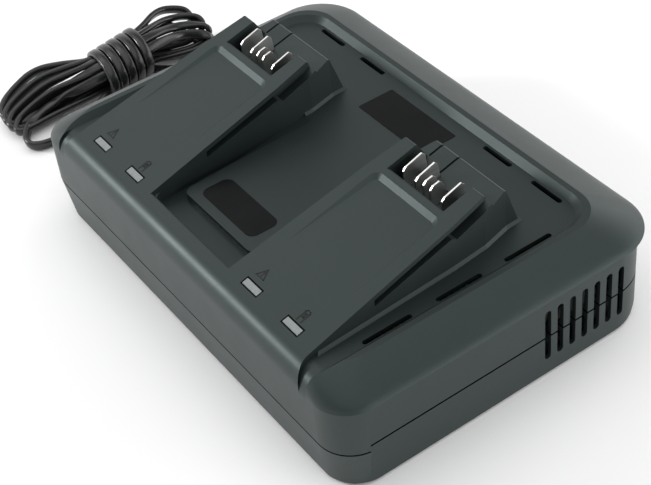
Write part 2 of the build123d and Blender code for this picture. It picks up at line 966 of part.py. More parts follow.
    # Posts and stakes that carry the display boards
    with BuildSketch(Plane.XY.offset(display_top_z)):
        for dock_x in dock_xs.values():
            for stake_x in (dock_x - stake_pitch / 2, dock_x + stake_pitch / 2):
                with Locations((stake_x, stake_y)):
                    Circle(stake_post_radius)
    extrude(amount=ceiling_z + wall / 2 - display_top_z)
    with BuildSketch(Plane.XY.offset(display_top_z - 2 * display_thickness)):
        for dock_x in dock_xs.values():
            for stake_x in (dock_x - stake_pitch / 2, dock_x + stake_pitch / 2):
                with Locations((stake_x, stake_y)):
                    Circle(stake_radius)
    extrude(amount=3 * display_thickness)
save(upper_housing, "upper_housing")

# ---------------------------------------------------------- lower housing
with BuildPart() as lower_housing:
    # The walls lean in towards the base
    with BuildSketch(Plane.XY.offset(base_z)):
        add(
            outline(
                side_x - base_draft,
                front_y + base_draft,
                back_y - base_draft,
                front_radius,
                back_radius,
            )
        )
    with BuildSketch(Plane.XY.offset(parting_z)):
        add(outline(side_x, front_y, back_y, front_radius, back_radius))
    loft()
    fillet(lower_housing.faces().sort_by(Axis.Z)[0].outer_wire().edges(), bottom_edge_radius)
    add(panel_cutter.part, mode=Mode.SUBTRACT)
    with BuildSketch(Plane.XY.offset(inner_base_z)):
        add(
            outline(
                inner_side_x,
                inner_front_y + base_draft,
                inner_back_y,
                inner_front_radius,
                inner_back_radius,
            )
        )
    with BuildSketch(Plane.XY.offset(parting_z)):
        add(
            outline(
                inner_side_x, inner_front_y, inner_back_y, inner_front_radius, inner_back_radius
            )
        )
    loft(mode=Mode.SUBTRACT)
    # Dark seam: the outer edge of the wall stops short of the upper shell
    with BuildSketch(Plane.XY.offset(parting_z - seam_height)):
        add(outline(side_x + wall, front_y - wall, back_y + wall, front_radius, back_radius))
        add(
            outline(
                side_x - seam_depth,
                front_y + seam_depth,
                back_y - seam_depth,
                front_radius - seam_depth,
                back_radius - seam_depth,
            ),
            mode=Mode.SUBTRACT,
        )
        with Locations((0, panel_front_y + seam_depth)):
            Rectangle(2 * case_width, case_depth, align=(Align.CENTER, Align.MIN))
        add(
            outline(
                side_x - panel_inset - seam_depth,
                front_y + seam_depth,
                back_y - panel_inset - seam_depth,
                front_radius - seam_depth,
                back_radius - panel_inset - seam_depth,
            ),
            mode=Mode.SUBTRACT,
        )
    extrude(amount=seam_height, mode=Mode.SUBTRACT)
    # Lip that stands up inside the upper shell and keeps the two in line
    for lip_low_z, lip_high_z, lip_gap in (
        (parting_z - lip_root, parting_z, 0),
        (parting_z, parting_z + lip_rise, lip_clearance),
    ):
        with BuildSketch(Plane.XY.offset(lip_low_z)):
            for inset, lip_mode in (
                (lip_gap, Mode.ADD),
                (lip_clearance + lip_thickness, Mode.SUBTRACT),
            ):
                add(
                    outline(
                        inner_side_x - inset,
                        inner_front_y + inset,
                        inner_back_y - inset,
                        inner_front_radius - inset,
                        inner_back_radius - inset,
                    ),
                    mode=lip_mode,
                )
        extrude(amount=lip_high_z - lip_low_z)
    add(vent_cutter.part, mode=Mode.SUBTRACT)
    # Screw bosses with wells that take the heads from below
    with BuildSketch(Plane.XY.offset(base_z)):
        with Locations(*screw_places):
            Circle(boss_radius)
    extrude(amount=parting_z - base_z)
    with BuildSketch(Plane.XY.offset(base_z)):
        with Locations(*screw_places):
            Circle(screw_clearance_radius)
    extrude(amount=parting_z - base_z, mode=Mode.SUBTRACT)
    with BuildSketch(Plane.XY.offset(base_z)):
        with Locations(*screw_places):
            Circle(boss_well_radius)
    extrude(amount=parting_z - boss_land - base_z, mode=Mode.SUBTRACT)
    # Recesses for the feet
    with BuildSketch(Plane.XY.offset(base_z)):
        with Locations(*foot_places):
            Circle(foot_radius)
    extrude(amount=foot_recess, mode=Mode.SUBTRACT)
    # Posts under the main board
    with BuildSketch(Plane.XY.offset(inner_base_z)):
        with Locations(board_centre):
            with GridLocations(*post_pitch, 3, 2):
                Circle(post_radius)
    extrude(amount=post_height)
    with BuildSketch(Plane.XY.offset(inner_base_z)):
        with Locations(board_centre):
            with GridLocations(*post_pitch, 3, 2):
                Circle(screw_radius)
    extrude(amount=post_height, mode=Mode.SUBTRACT)
    # Cradle of the fan: a foot under each lower corner, with walls round them
    cradle_half = fan_size / 2 + cradle_clearance + cradle_wall
    with BuildSketch(Plane.XY.offset(inner_base_z)):
        with Locations((fan_x - fan_depth / 2, fan_centre_y)):
            Rectangle(fan_depth + 2 * (cradle_wall + cradle_clearance), 2 * cradle_half)
            Rectangle(
                fan_depth * 2, 2 * (cradle_half - cradle_foot), mode=Mode.SUBTRACT
            )
    extrude(amount=cradle_height)
    with BuildSketch(Plane.XY.offset(fan_seat_z)):
        with Locations((fan_x - fan_depth / 2, fan_centre_y)):
            Rectangle(fan_depth + 2 * cradle_clearance, fan_size + 2 * cradle_clearance)
    extrude(amount=cradle_height, mode=Mode.SUBTRACT)
    # Saddle under the cord, between the two posts of its clamp
    with BuildSketch(Plane.XY.offset(inner_base_z)):
        with Locations((clamp_x, exit_y)):
            Rectangle(clamp_width, cord_diameter)
    extrude(amount=exit_z - cord_diameter / 2 - inner_base_z)
    with BuildSketch(Plane.XY.offset(inner_base_z)):
        with Locations((clamp_x, exit_y - clamp_reach), (clamp_x, exit_y + clamp_reach)):
            Circle(clamp_post_radius)
    extrude(amount=clamp_z - inner_base_z)
    with BuildSketch(Plane.XY.offset(clamp_z - clamp_screw_bite)):
        with Locations((clamp_x, exit_y - clamp_reach), (clamp_x, exit_y + clamp_reach)):
            Circle(clamp_screw_radius)
    extrude(amount=clamp_screw_bite, mode=Mode.SUBTRACT)
    # Hole for the neck of the strain relief
    with BuildSketch(Plane.YZ.offset(-side_x)):
        with Locations((exit_y, exit_z)):
            Circle(relief_neck_radius)
    extrude(amount=2 * (panel_inset + wall), mode=Mode.SUBTRACT)
save(lower_housing, "lower_housing")

# Screws that draw the two shells together, up from the wells
with BuildPart() as housing_screws:
    screw_seat_z = parting_z - boss_land
    with BuildSketch(Plane.XY.offset(screw_seat_z - screw_head_height)):
        with Locations(*screw_places):
            Circle(screw_head_radius)
    extrude(amount=screw_head_height)
    with BuildSketch(Plane.XY.offset(screw_seat_z)):
        with Locations(*screw_places):
            Circle(screw_radius)
    extrude(amount=boss_land + screw_bite)
    with BuildSketch(Plane.XY.offset(screw_seat_z - screw_head_height)):
        for screw_place in screw_places:
            with Locations(screw_place):
                Rectangle(screw_head_radius, screw_head_height / 4)
                Rectangle(screw_head_height / 4, screw_head_radius)
    extrude(amount=screw_head_height / 2, mode=Mode.SUBTRACT)
save(housing_screws, "housing_screws")

with BuildPart() as rubber_feet:
    with BuildSketch():
        with Locations(*foot_places):
            Circle(foot_radius)
    extrude(amount=base_z + foot_recess)
    chamfer(rubber_feet.edges().group_by(Axis.Z)[0], foot_height / 2)
save(rubber_feet, "rubber_feet")

with BuildPart() as rating_plate:
    with BuildSketch(Plane.XY.offset(base_z - rating_thickness)):
        RectangleRounded(*rating_size, plate_radius)
    extrude(amount=rating_thickness)
save(rating_plate, "rating_plate")

with BuildPart() as badge_plate:
    with BuildSketch(Plane.XY.offset(floor_z - label_recess)):
        with Locations(badge_centre):
            RectangleRounded(*badge_size, badge_radius)
    extrude(amount=label_thickness)
save(badge_plate, "badge_plate")

with BuildPart() as name_plate:
    with BuildSketch(Plane.XY.offset(floor_z - label_recess)):
        with Locations(plate_centre):
            RectangleRounded(*plate_size, plate_radius)
    extrude(amount=label_thickness)
save(name_plate, "name_plate")

# --------------------------------------------------------------- contacts
def blade_profile(span, heights, lean):
    """Side view of one upright blade, with its top edge's corners cut off."""
    near_y, far_y = (front_y + run for run in span)
    near_z, far_z = heights
    corner = 2 * blade_thickness
    return profile(
        [
            (near_y, blade_low_z),
            (near_y, near_z - corner),
            (near_y + corner, near_z),
            (far_y - corner, far_z),
            (far_y, far_z - corner),
            (far_y + lean, blade_root_z),
            (far_y + lean, blade_low_z),
        ]
    )


for side, dock_x in dock_xs.items():
    # Long blades carry the charging current
    with BuildPart() as power_blades:
        for blade_x in long_blade_offsets:
            with BuildSketch(Plane.YZ.offset(dock_x + blade_x - blade_thickness / 2)):
                add(blade_profile(long_blade_run, long_blade_z, long_blade_lean))
            extrude(amount=blade_thickness)
    save(power_blades, f"{side}_power_blades")

    # Short blades read the battery's temperature and code
    with BuildPart() as signal_blades:
        for blade_x in short_blade_offsets:
            with BuildSketch(Plane.YZ.offset(dock_x + blade_x - blade_thickness / 2)):
                add(blade_profile(short_blade_run, short_blade_z, short_blade_lean))
            extrude(amount=blade_thickness)
    save(signal_blades, f"{side}_signal_blades")

    # Moulded block that plugs the recess from below and holds the blades
    with BuildPart() as contact_carrier:
        with BuildSketch(Plane.XY.offset(ceiling_z - carrier_flange_thickness)):
            with Locations((dock_x, (recess_front_y + recess_back_y) / 2)):
                Rectangle(
                    2 * (dock_cavity_half + carrier_flange), recess_length + carrier_flange
                )
        extrude(amount=carrier_flange_thickness)
        with BuildSketch(Plane.XY.offset(ceiling_z)):
            with Locations((dock_x, (recess_front_y + recess_back_y) / 2)):
                Rectangle(2 * (recess_half - carrier_clearance), recess_length)
        extrude(amount=carrier_top_z - ceiling_z)
        # Deep well beside the first blade
        with BuildSketch(Plane.XY.offset(carrier_top_z)):
            well_left_x = dock_x - recess_half + carrier_clearance
            with Locations((well_left_x, (recess_front_y + recess_back_y) / 2)):
                Rectangle(2 * carrier_well, recess_length - wall)
        extrude(amount=ceiling_z - carrier_top_z, mode=Mode.SUBTRACT)
        add(power_blades.part, mode=Mode.SUBTRACT)
        add(signal_blades.part, mode=Mode.SUBTRACT)
    save(contact_carrier, f"{side}_contact_carrier")

    # Two windows let the light of the display board out through the ramp
    for window_name, window_offset in zip(("fault", "charge"), window_offsets):
        with BuildPart() as window:
            with BuildSketch(Plane.XY.offset(window_low_z)):
                with Locations((dock_x + window_offset, window_y)):
                    Rectangle(*window_size)
            extrude(amount=case_width)
            with BuildSketch(Plane.YZ.offset(dock_x - dock_flare)):
                add(
                    profile(
                        [
                            (front_y, roll_low_z),
                            (front_y, ramp_height(front_y)),
                            (tongue_y, ramp_height(tongue_y)),
                            (tongue_y, roll_low_z),
                        ],
                        [0, front_roll_radius, 0, 0],
                    )
                )
            extrude(amount=2 * dock_flare, mode=Mode.INTERSECT)
        save(window, f"{side}_{window_name}_window")

    with BuildPart() as display_board:
        with BuildSketch(Plane.XY.offset(display_top_z - display_thickness)):
            with Locations((dock_x, display_centre_y)):
                Rectangle(*display_size)
            with Locations(
                (dock_x - stake_pitch / 2, stake_y), (dock_x + stake_pitch / 2, stake_y)
            ):
                Circle(stake_radius + stake_clearance, mode=Mode.SUBTRACT)
        extrude(amount=display_thickness)
    save(display_board, f"{side}_display_board")

    # Supply wires from the main board up to the outer blades
    with BuildPart() as dock_wires:
        for blade_x in (long_blade_offsets[0], long_blade_offsets[-1]):
            wire_x = dock_x + blade_x
            with BuildLine() as wire_route:
                FilletPolyline(
                    (wire_x, socket_y, socket_top_z),
                    (wire_x, socket_y, wire_run_z),
                    (wire_x, front_y + wire_end_run, wire_run_z),
                    (wire_x, front_y + wire_end_run, blade_low_z),
                    radius=wire_bend,
                )
            with BuildSketch(Plane.XY.offset(socket_top_z)):
                with Locations((wire_x, socket_y)):
                    Circle(wire_radius)
            sweep(path=wire_route.line)
    save(dock_wires, f"{side}_dock_wires")

with BuildPart() as indicator_leds:
    with BuildSketch(Plane.XY.offset(display_top_z)):
        for dock_x in dock_xs.values():
            for window_offset in window_offsets:
                with Locations((dock_x + window_offset, window_y)):
                    Rectangle(led_size[0], led_size[1])
    extrude(amount=led_size[2])
save(indicator_leds, "indicator_leds")

# ------------------------------------------------------------- main board
with BuildPart() as main_circuit_board:
    with BuildSketch(Plane.XY.offset(board_z)):
        with Locations(board_centre):
            Rectangle(*board_size)
            with GridLocations(*post_pitch, 3, 2):
                Circle(screw_clearance_radius, mode=Mode.SUBTRACT)
    extrude(amount=board_thickness)
save(main_circuit_board, "main_circuit_board")

with BuildPart() as board_screws:
    with BuildSketch(Plane.XY.offset(inner_base_z)):
        with Locations(board_centre):
            with GridLocations(*post_pitch, 3, 2):
                Circle(screw_radius)
    extrude(amount=post_height + board_thickness)
    with BuildSketch(Plane.XY.offset(board_top_z)):
        with Locations(board_centre):
            with GridLocations(*post_pitch, 3, 2):
                Circle(screw_head_radius)
    extrude(amount=board_screw_head_height)
save(board_screws, "board_screws")


def save_blocks(name, places, size, edge=0.0):
    """Rectangular parts of one kind that stand on the board."""
    with BuildPart() as blocks:
        with BuildSketch(Plane.XY.offset(board_top_z)):
            with Locations(*places):
                Rectangle(size[0], size[1])
        extrude(amount=size[2])
        if edge:
            fillet(blocks.edges().group_by(Axis.Z)[-1], edge)
    save(blocks, name)


def save_cans(name, places, radius, height, edge):
    """Round parts of one kind that stand on the board."""
    with BuildPart() as cans:
        with BuildSketch(Plane.XY.offset(board_top_z)):
            with Locations(*places):
                Circle(radius)
        extrude(amount=height)
        fillet(cans.edges().group_by(Axis.Z)[-1], edge)
    save(cans, name)


save_cans("main_capacitor", capacitor_places, capacitor_radius, capacitor_height, 1.5)
save_cans("output_capacitors", output_places, output_radius, output_height, 0.8)
save_blocks("film_capacitor", film_places, film_size, 1.0)
save_blocks("bridge_rectifier", bridge_places, bridge_size, 0.5)
save_blocks("control_chips", chip_places, chip_size)
save_blocks("power_transistors", transistor_places, transistor_size)
save_blocks("dock_sockets", socket_places, socket_size)
save_blocks("mains_socket", mains_socket_places, mains_socket_size)
save_blocks("fan_socket", fan_socket_places, fan_socket_size)

# Fuse lying in its two clips, all one replaceable cartridge part
with BuildPart() as fuse:
    with BuildSketch(Plane.YZ.offset(fuse_place[0] - fuse_length / 2)):
        with Locations((fuse_place[1], board_top_z + fuse_radius)):
            Circle(fuse_radius)
    extrude(amount=fuse_length)
    for cap_side in (-1, 1):
        cap_x = fuse_place[0] + cap_side * (fuse_length - fuse_cap) / 2
        with BuildSketch(Plane.XY.offset(board_top_z)):
            with Locations((cap_x, fuse_place[1])):
                Rectangle(fuse_cap, 2 * fuse_radius)
        extrude(amount=fuse_radius)
save(fuse, "fuse")

# Ring core with its winding wrapped round it
with BuildPart() as choke_core:
    with BuildSketch(Plane.XY.offset(board_top_z + choke_wire)):
        with Locations(choke_place):
            Circle(choke_outer_radius)
            Circle(choke_inner_radius, mode=Mode.SUBTRACT)
    extrude(amount=choke_height)
save(choke_core, "choke_core")

with BuildPart() as choke_winding:
    with BuildSketch(Plane.XY.offset(board_top_z)):
        with Locations(choke_place):
            Circle(choke_outer_radius + choke_wire)
            Circle(choke_inner_radius - choke_wire, mode=Mode.SUBTRACT)
            Rectangle(2 * choke_split, 4 * choke_outer_radius, mode=Mode.SUBTRACT)
    extrude(amount=choke_height + 2 * choke_wire)
    add(choke_core.part, mode=Mode.SUBTRACT)
save(choke_winding, "choke_winding")

# Transformer: a closed frame of ferrite round the winding on its middle leg
with BuildPart() as transformer_core:
    with BuildSketch(Plane.XZ.offset(-transformer_place[1] - core_depth / 2)):
        with Locations((transformer_place[0], board_top_z + core_height / 2)):
            Rectangle(core_width, core_height)
            with Locations(
                (-(core_width - core_leg) / 4 - core_leg / 8, 0),
                ((core_width - core_leg) / 4 + core_leg / 8, 0),
            ):
                Rectangle(core_window, core_height - core_leg, mode=Mode.SUBTRACT)
    extrude(amount=core_depth)
save(transformer_core, "transformer_core")

with BuildPart() as transformer_winding:
    with BuildSketch(Plane.XY.offset(board_top_z + core_leg / 2)):
        with Locations(transformer_place):
            RectangleRounded(
                core_width - core_leg,
                core_depth + core_leg,
                core_leg / 3,
            )
    extrude(amount=core_height - core_leg)
    add(transformer_core.part, mode=Mode.SUBTRACT)
save(transformer_winding, "transformer_winding")

# Finned aluminium plates that cool the transistors
for side, sink_x in sink_xs.items():
    with BuildPart() as heat_sink:
        with BuildSketch(Plane.XY.offset(board_top_z)):
            with Locations((sink_x, sink_y)):
                Rectangle(sink_width, sink_plate)
            for fin in range(sink_fins):
                fin_x = sink_x - sink_width / 2 + sink_width * (fin + 0.5) / sink_fins
                with Locations((fin_x, sink_y)):
                    Rectangle(
                        sink_fin_thickness,
                        sink_plate / 2 + sink_reach,
                        align=(Align.CENTER, Align.MIN),
                    )
        extrude(amount=sink_height)
    save(heat_sink, f"{side}_heat_sink")

# -------------------------------------------------------------------- fan
fan_axis_plane = Plane(
    origin=(fan_x - fan_depth, fan_centre_y, fan_centre_z), x_dir=(0, 1, 0), z_dir=(1, 0, 0)
)
with BuildPart() as fan_frame:
    with BuildSketch(fan_axis_plane):
        RectangleRounded(fan_size, fan_size, cradle_wall)
        Circle(fan_bore_radius, mode=Mode.SUBTRACT)
    extrude(amount=fan_depth)
    # Bearing plate on four arms, with the bearing's tube
    with BuildSketch(fan_axis_plane):
        Circle(fan_plate_radius)
        Rectangle(2 * fan_bore_radius + fan_hub_wall, fan_bearing_radius)
        Rectangle(fan_bearing_radius, 2 * fan_bore_radius + fan_hub_wall)
    extrude(amount=fan_plate_thickness)
    with BuildSketch(fan_axis_plane):
        Circle(fan_bearing_radius)
    extrude(amount=fan_depth - fan_hub_gap - 2 * fan_hub_wall - fan_plate_thickness)
    with BuildSketch(fan_axis_plane):
        Circle(fan_shaft_radius + fan_shaft_clearance)
    extrude(amount=fan_depth, mode=Mode.SUBTRACT)
save(fan_frame, "fan_frame")

with BuildPart() as fan_rotor:
    hub_start = fan_plate_thickness + fan_hub_gap
    hub_length = fan_depth - hub_start - fan_hub_gap
    with BuildSketch(fan_axis_plane.offset(hub_start)):
        Circle(fan_hub_radius)
    extrude(amount=hub_length)
    with BuildSketch(fan_axis_plane.offset(hub_start)):
        Circle(fan_hub_radius - fan_hub_wall)
    extrude(amount=hub_length - fan_hub_wall, mode=Mode.SUBTRACT)
    for index in range(fan_blade_count):
        turn = math.radians(360 * index / fan_blade_count)
        blade_plane = Plane(
            origin=(
                fan_x - fan_depth + hub_start + hub_length / 2,
                fan_centre_y,
                fan_centre_z,
            ),
            x_dir=(1, 0, 0),
            z_dir=(0, math.cos(turn), math.sin(turn)),
        )
        with BuildSketch(blade_plane.offset(fan_hub_radius - fan_hub_wall / 2)):
            Rectangle(fan_blade_chord, fan_hub_wall, rotation=fan_blade_pitch)
        extrude(
            amount=fan_bore_radius - fan_tip_clearance - fan_hub_radius + fan_hub_wall / 2
        )
    with BuildSketch(fan_axis_plane.offset(fan_hub_gap)):
        Circle(fan_shaft_radius)
    extrude(amount=hub_start + hub_length - fan_hub_gap - fan_hub_wall / 2)
save(fan_rotor, "fan_rotor")

# Thin twin lead from the fan to its socket on the board
with BuildPart() as fan_wires:
    with BuildLine() as fan_route:
        FilletPolyline(
            (fan_x - fan_depth, fan_wire_y, fan_wire_z),
            (fan_socket_places[0][0], fan_wire_y, fan_wire_z),
            (
                fan_socket_places[0][0],
                fan_wire_y,
                board_top_z + fan_socket_size[2],
            ),
            radius=wire_bend,
        )
    with BuildSketch(
        Plane(
            origin=(fan_x - fan_depth, fan_wire_y, fan_wire_z),
            x_dir=(0, 1, 0),
            z_dir=(-1, 0, 0),
        )
    ):
        Circle(wire_radius)
    sweep(path=fan_route.line)
save(fan_wires, "fan_wires")

# ------------------------------------------------------------------- cord
def save_tube(name, points, first_direction):
    """A stretch of the cord: straight runs joined by tangent arcs."""
    radii = []
    for before, corner, after in zip(points, points[1:], points[2:]):
        run_in = Vector(corner) - Vector(before)
        run_out = Vector(after) - Vector(corner)
        half_turn = math.radians(run_in.get_angle(run_out)) / 2
        radii.append(0.45 * min(run_in.length, run_out.length) / math.tan(half_turn))
    with BuildPart() as tube:
        with BuildLine() as route:
            FilletPolyline(*points, radius=radii)
        with BuildSketch(Plane(origin=points[0], z_dir=first_direction)):
            Circle(cord_diameter / 2)
        sweep(path=route.line)
    route_length = sum(edge.length for edge in route.edges())
    expected = math.pi * cord_diameter**2 / 4 * route_length
    print(name, "radii", [round(radius, 1) for radius in radii])
    print(name, "length", round(route_length, 1), "volume", tube.part.volume / expected)
    save(tube, name)


relief_tip_x = -(side_x - panel_inset) - relief_length
with BuildPart() as strain_relief:
    with BuildSketch(Plane.XZ.offset(-exit_y)):
        with BuildLine():
            outer_x = -(side_x - panel_inset)
            inner_x = -inner_side_x
            Polyline(
                (relief_tip_x, exit_z),
                (relief_tip_x, exit_z + relief_tip_radius),
                (outer_x, exit_z + relief_base_radius),
                (outer_x, exit_z + relief_neck_radius),
                (inner_x, exit_z + relief_neck_radius),
                (inner_x, exit_z + relief_flange_radius),
                (inner_x + relief_flange_thickness, exit_z + relief_flange_radius),
                (inner_x + relief_flange_thickness, exit_z),
                close=True,
            )
        make_face()
    revolve(axis=Axis((relief_tip_x, exit_y, exit_z), (1, 0, 0)))
    # Rings that let it bend
    for ring in range(relief_rings):
        ring_x = relief_tip_x + relief_ring_pitch * (ring + 1)
        taper_share = (ring_x - relief_tip_x) / relief_length
        ring_radius = relief_tip_radius + (relief_base_radius - relief_tip_radius) * taper_share
        with BuildSketch(Plane.YZ.offset(ring_x)):
            with Locations((exit_y, exit_z)):
                Circle(relief_base_radius + relief_ring_width)
                Circle(ring_radius - relief_ring_depth, mode=Mode.SUBTRACT)
        extrude(amount=relief_ring_width, mode=Mode.SUBTRACT)
save(strain_relief, "strain_relief")

with BuildPart() as mains_leads:
    sheath_x = -inner_side_x + relief_flange_thickness
    sheath_end_x = sheath_x + sheath_length
    with BuildSketch(Plane.YZ.offset(sheath_x)):
        with Locations((exit_y, exit_z)):
            Circle(cord_diameter / 2)
    extrude(amount=sheath_length)
    socket_x, socket_back_y = mains_socket_places[0]
    for core_side in (-1, 1):
        core_y = exit_y + core_side * core_spread
        core_end_x = socket_x + core_side * core_spread
        with BuildLine() as core_route:
            FilletPolyline(
                (sheath_end_x, core_y, exit_z),
                (core_end_x, core_y, exit_z),
                (core_end_x, socket_back_y + mains_socket_size[1] / 2, exit_z),
                radius=wire_bend,
            )
        with BuildSketch(Plane.YZ.offset(sheath_end_x)):
            with Locations((core_y, exit_z)):
                Circle(wire_radius)
        sweep(path=core_route.line)
save(mains_leads, "mains_leads")

clamp_ends = ((clamp_x, exit_y - clamp_reach), (clamp_x, exit_y + clamp_reach))
with BuildPart() as cord_clamp:
    with BuildSketch(Plane.XY.offset(clamp_z)):
        with Locations((clamp_x, exit_y)):
            SlotCenterToCenter(2 * clamp_reach, clamp_width, rotation=90)
        with Locations(*clamp_ends):
            Circle(clamp_screw_radius, mode=Mode.SUBTRACT)
    extrude(amount=clamp_thickness)
save(cord_clamp, "cord_clamp")

with BuildPart() as clamp_screws:
    with BuildSketch(Plane.XY.offset(clamp_z - clamp_screw_bite)):
        with Locations(*clamp_ends):
            Circle(clamp_screw_radius)
    extrude(amount=clamp_screw_bite + clamp_thickness)
    with BuildSketch(Plane.XY.offset(clamp_z + clamp_thickness)):
        with Locations(*clamp_ends):
            Circle(clamp_head_radius)
    extrude(amount=clamp_head_height)
save(clamp_screws, "clamp_screws")

save_tube("cord_lead", [(relief_tip_x, exit_y, exit_z)] + lead_points, (-1, 0, 0))

with BuildPart() as cord_hank:
    for sections in (hank_front, hank_waist, hank_back):
        for section_y, left_x, right_x, height in sections:
            with BuildSketch(Plane.XZ.offset(-section_y)):
                with Locations(((left_x + right_x) / 2, height / 2)):
                    Ellipse((right_x - left_x) / 2, height / 2)
        loft()
save(cord_hank, "cord_hank")

plug_tail = (plug_x, plug_back_y, plug_height / 2)
save_tube("plug_lead", [plug_tail] + plug_lead_points, (0, 1, 0))

# Flat two-pin plug lying on its broad side
with BuildPart() as plug_body:
    with BuildSketch():
        with BuildLine():
            FilletPolyline(
                (plug_x + plug_width / 2, plug_back_y - plug_length),
                (plug_x + plug_width / 2, plug_back_y - plug_length / 2),
                (plug_x + plug_nose, plug_back_y),
                (plug_x - plug_nose, plug_back_y),
                (plug_x - plug_width / 2, plug_back_y - plug_length / 2),
                (plug_x - plug_width / 2, plug_back_y - plug_length),
                radius=[plug_nose / 2, plug_nose, 1.0, 1.0, plug_nose, plug_nose / 2],
                close=True,
            )
        make_face()
    extrude(amount=plug_height)
    fillet(plug_body.edges().group_by(Axis.Z)[-1], plug_edge)
    fillet(plug_body.edges().group_by(Axis.Z)[0], plug_edge)
save(plug_body, "plug_body")

with BuildPart() as plug_pins:
    with BuildSketch(Plane.XZ.offset(-(plug_back_y - plug_length))):
        with Locations(
            (plug_x - pin_pitch / 2, plug_height / 2), (plug_x + pin_pitch / 2, plug_height / 2)
        ):
            Circle(pin_radius)
    extrude(amount=pin_length)
    fillet(plug_pins.edges().group_by(Axis.Y)[0], pin_radius / 2)
save(plug_pins, "plug_pins")
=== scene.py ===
import math

import bpy
import numpy as np
from mathutils import Matrix, Vector


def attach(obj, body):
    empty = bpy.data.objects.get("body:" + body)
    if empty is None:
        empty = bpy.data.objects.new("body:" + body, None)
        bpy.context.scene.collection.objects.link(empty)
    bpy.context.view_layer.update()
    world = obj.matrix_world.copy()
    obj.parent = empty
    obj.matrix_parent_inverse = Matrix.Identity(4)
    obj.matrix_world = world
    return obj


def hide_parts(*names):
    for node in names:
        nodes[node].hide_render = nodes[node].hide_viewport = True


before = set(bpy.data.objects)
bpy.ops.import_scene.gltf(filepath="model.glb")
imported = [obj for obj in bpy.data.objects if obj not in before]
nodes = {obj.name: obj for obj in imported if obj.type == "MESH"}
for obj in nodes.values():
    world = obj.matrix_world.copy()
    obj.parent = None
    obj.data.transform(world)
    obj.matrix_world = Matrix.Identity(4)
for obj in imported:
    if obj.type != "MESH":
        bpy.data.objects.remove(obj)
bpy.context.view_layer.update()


# Camera: a short telephoto above the charger's front right corner, turned a little clockwise, with the
# whole housing and the hank of cord in the picture.
camera_position = Vector((0.552307, -0.336762, 0.584413))
camera_right = Vector((0.5761, 0.8122, -0.0921))
camera_up = Vector((-0.5050, 0.4423, 0.7412))
camera_back = Vector((0.6427, -0.3805, 0.6650))
lens_width_mm = 36.0
lens_mm = 84.56

camera_data = bpy.data.cameras.new("studio_camera")
camera_data.sensor_width = lens_width_mm
camera_data.lens = lens_mm
camera_data.clip_start = 0.05
studio_camera = bpy.data.objects.new("studio_camera", camera_data)
bpy.context.scene.collection.objects.link(studio_camera)
camera_axes = Matrix((camera_right, camera_up, camera_back)).transposed()
studio_camera.matrix_world = Matrix.Translation(camera_position) @ camera_axes.to_4x4()
bpy.context.scene.camera = studio_camera


# Studio: a white table top that keeps a soft shadow, and broad soft lamps to the left, at the front left,
# to the right and behind. The white room is brightest overhead and near the table, and dim between.
def shader_nodes(name):
    """A new material with an empty node tree, with the tree's nodes and links."""
    material = bpy.data.materials.new(name)
    material.use_nodes = True
    material.node_tree.nodes.clear()
    return material, material.node_tree.nodes, material.node_tree.links


def soft_lamp(name, place, aim, size, watts):
    """A rectangular area lamp that faces a point."""
    data = bpy.data.lights.new(name, "AREA")
    data.shape = "RECTANGLE"
    data.size, data.size_y = size
    data.energy = watts
    lamp = bpy.data.objects.new(name, data)
    bpy.context.scene.collection.objects.link(lamp)
    lamp.location = place
    lamp.rotation_euler = (Vector(aim) - Vector(place)).to_track_quat("-Z", "Y").to_euler()


top_of_case = (0.0, 0.0, 0.05)
foot_of_case = (0.0, 0.0, 0.03)
soft_lamp("left_lamp", (-1.05, -0.05, 1.15), top_of_case, (0.8, 0.8), 1.8)
soft_lamp("front_lamp", (-1.15, -1.17, 0.76), top_of_case, (0.36, 0.25), 14.0)
soft_lamp("right_lamp", (1.9, 0.9, 0.42), foot_of_case, (2.2, 0.7), 22.0)
soft_lamp("back_lamp", (0.2, 2.2, 0.9), foot_of_case, (2.6, 1.0), 14.0)

room = bpy.data.worlds.new("white_room")
bpy.context.scene.world = room
room.use_nodes = True
room.node_tree.nodes.clear()
room_nodes = room.node_tree.nodes
room_links = room.node_tree.links
room_out = room_nodes.new("ShaderNodeOutputWorld")
room_place = room_nodes.new("ShaderNodeTexCoord")
room_axes = room_nodes.new("ShaderNodeSeparateXYZ")
room_shade = room_nodes.new("ShaderNodeValToRGB")
near_table, half_way = room_shade.color_ramp.elements
near_table.position = 0.30
near_table.color = (1.0, 1.0, 1.0, 1.0)
half_way.position = 0.68
half_way.color = (0.12, 0.12, 0.12, 1.0)
overhead = room_shade.color_ramp.elements.new(0.86)
overhead.color = (1.25, 1.25, 1.25, 1.0)
room_light = room_nodes.new("ShaderNodeBackground")
room_light.inputs["Strength"].default_value = 1.04
room_seen = room_nodes.new("ShaderNodeBackground")
room_seen.inputs["Color"].default_value = (1.0, 1.0, 1.0, 1.0)
room_seen.inputs["Strength"].default_value = 1.0
room_rays = room_nodes.new("ShaderNodeLightPath")
room_mix = room_nodes.new("ShaderNodeMixShader")
room_links.new(room_place.outputs["Generated"], room_axes.inputs[0])
room_links.new(room_axes.outputs["Z"], room_shade.inputs["Fac"])
room_links.new(room_shade.outputs["Color"], room_light.inputs["Color"])
room_links.new(room_rays.outputs["Is Camera Ray"], room_mix.inputs[0])
room_links.new(room_light.outputs[0], room_mix.inputs[1])
room_links.new(room_seen.outputs[0], room_mix.inputs[2])
room_links.new(room_mix.outputs[0], room_out.inputs["Surface"])

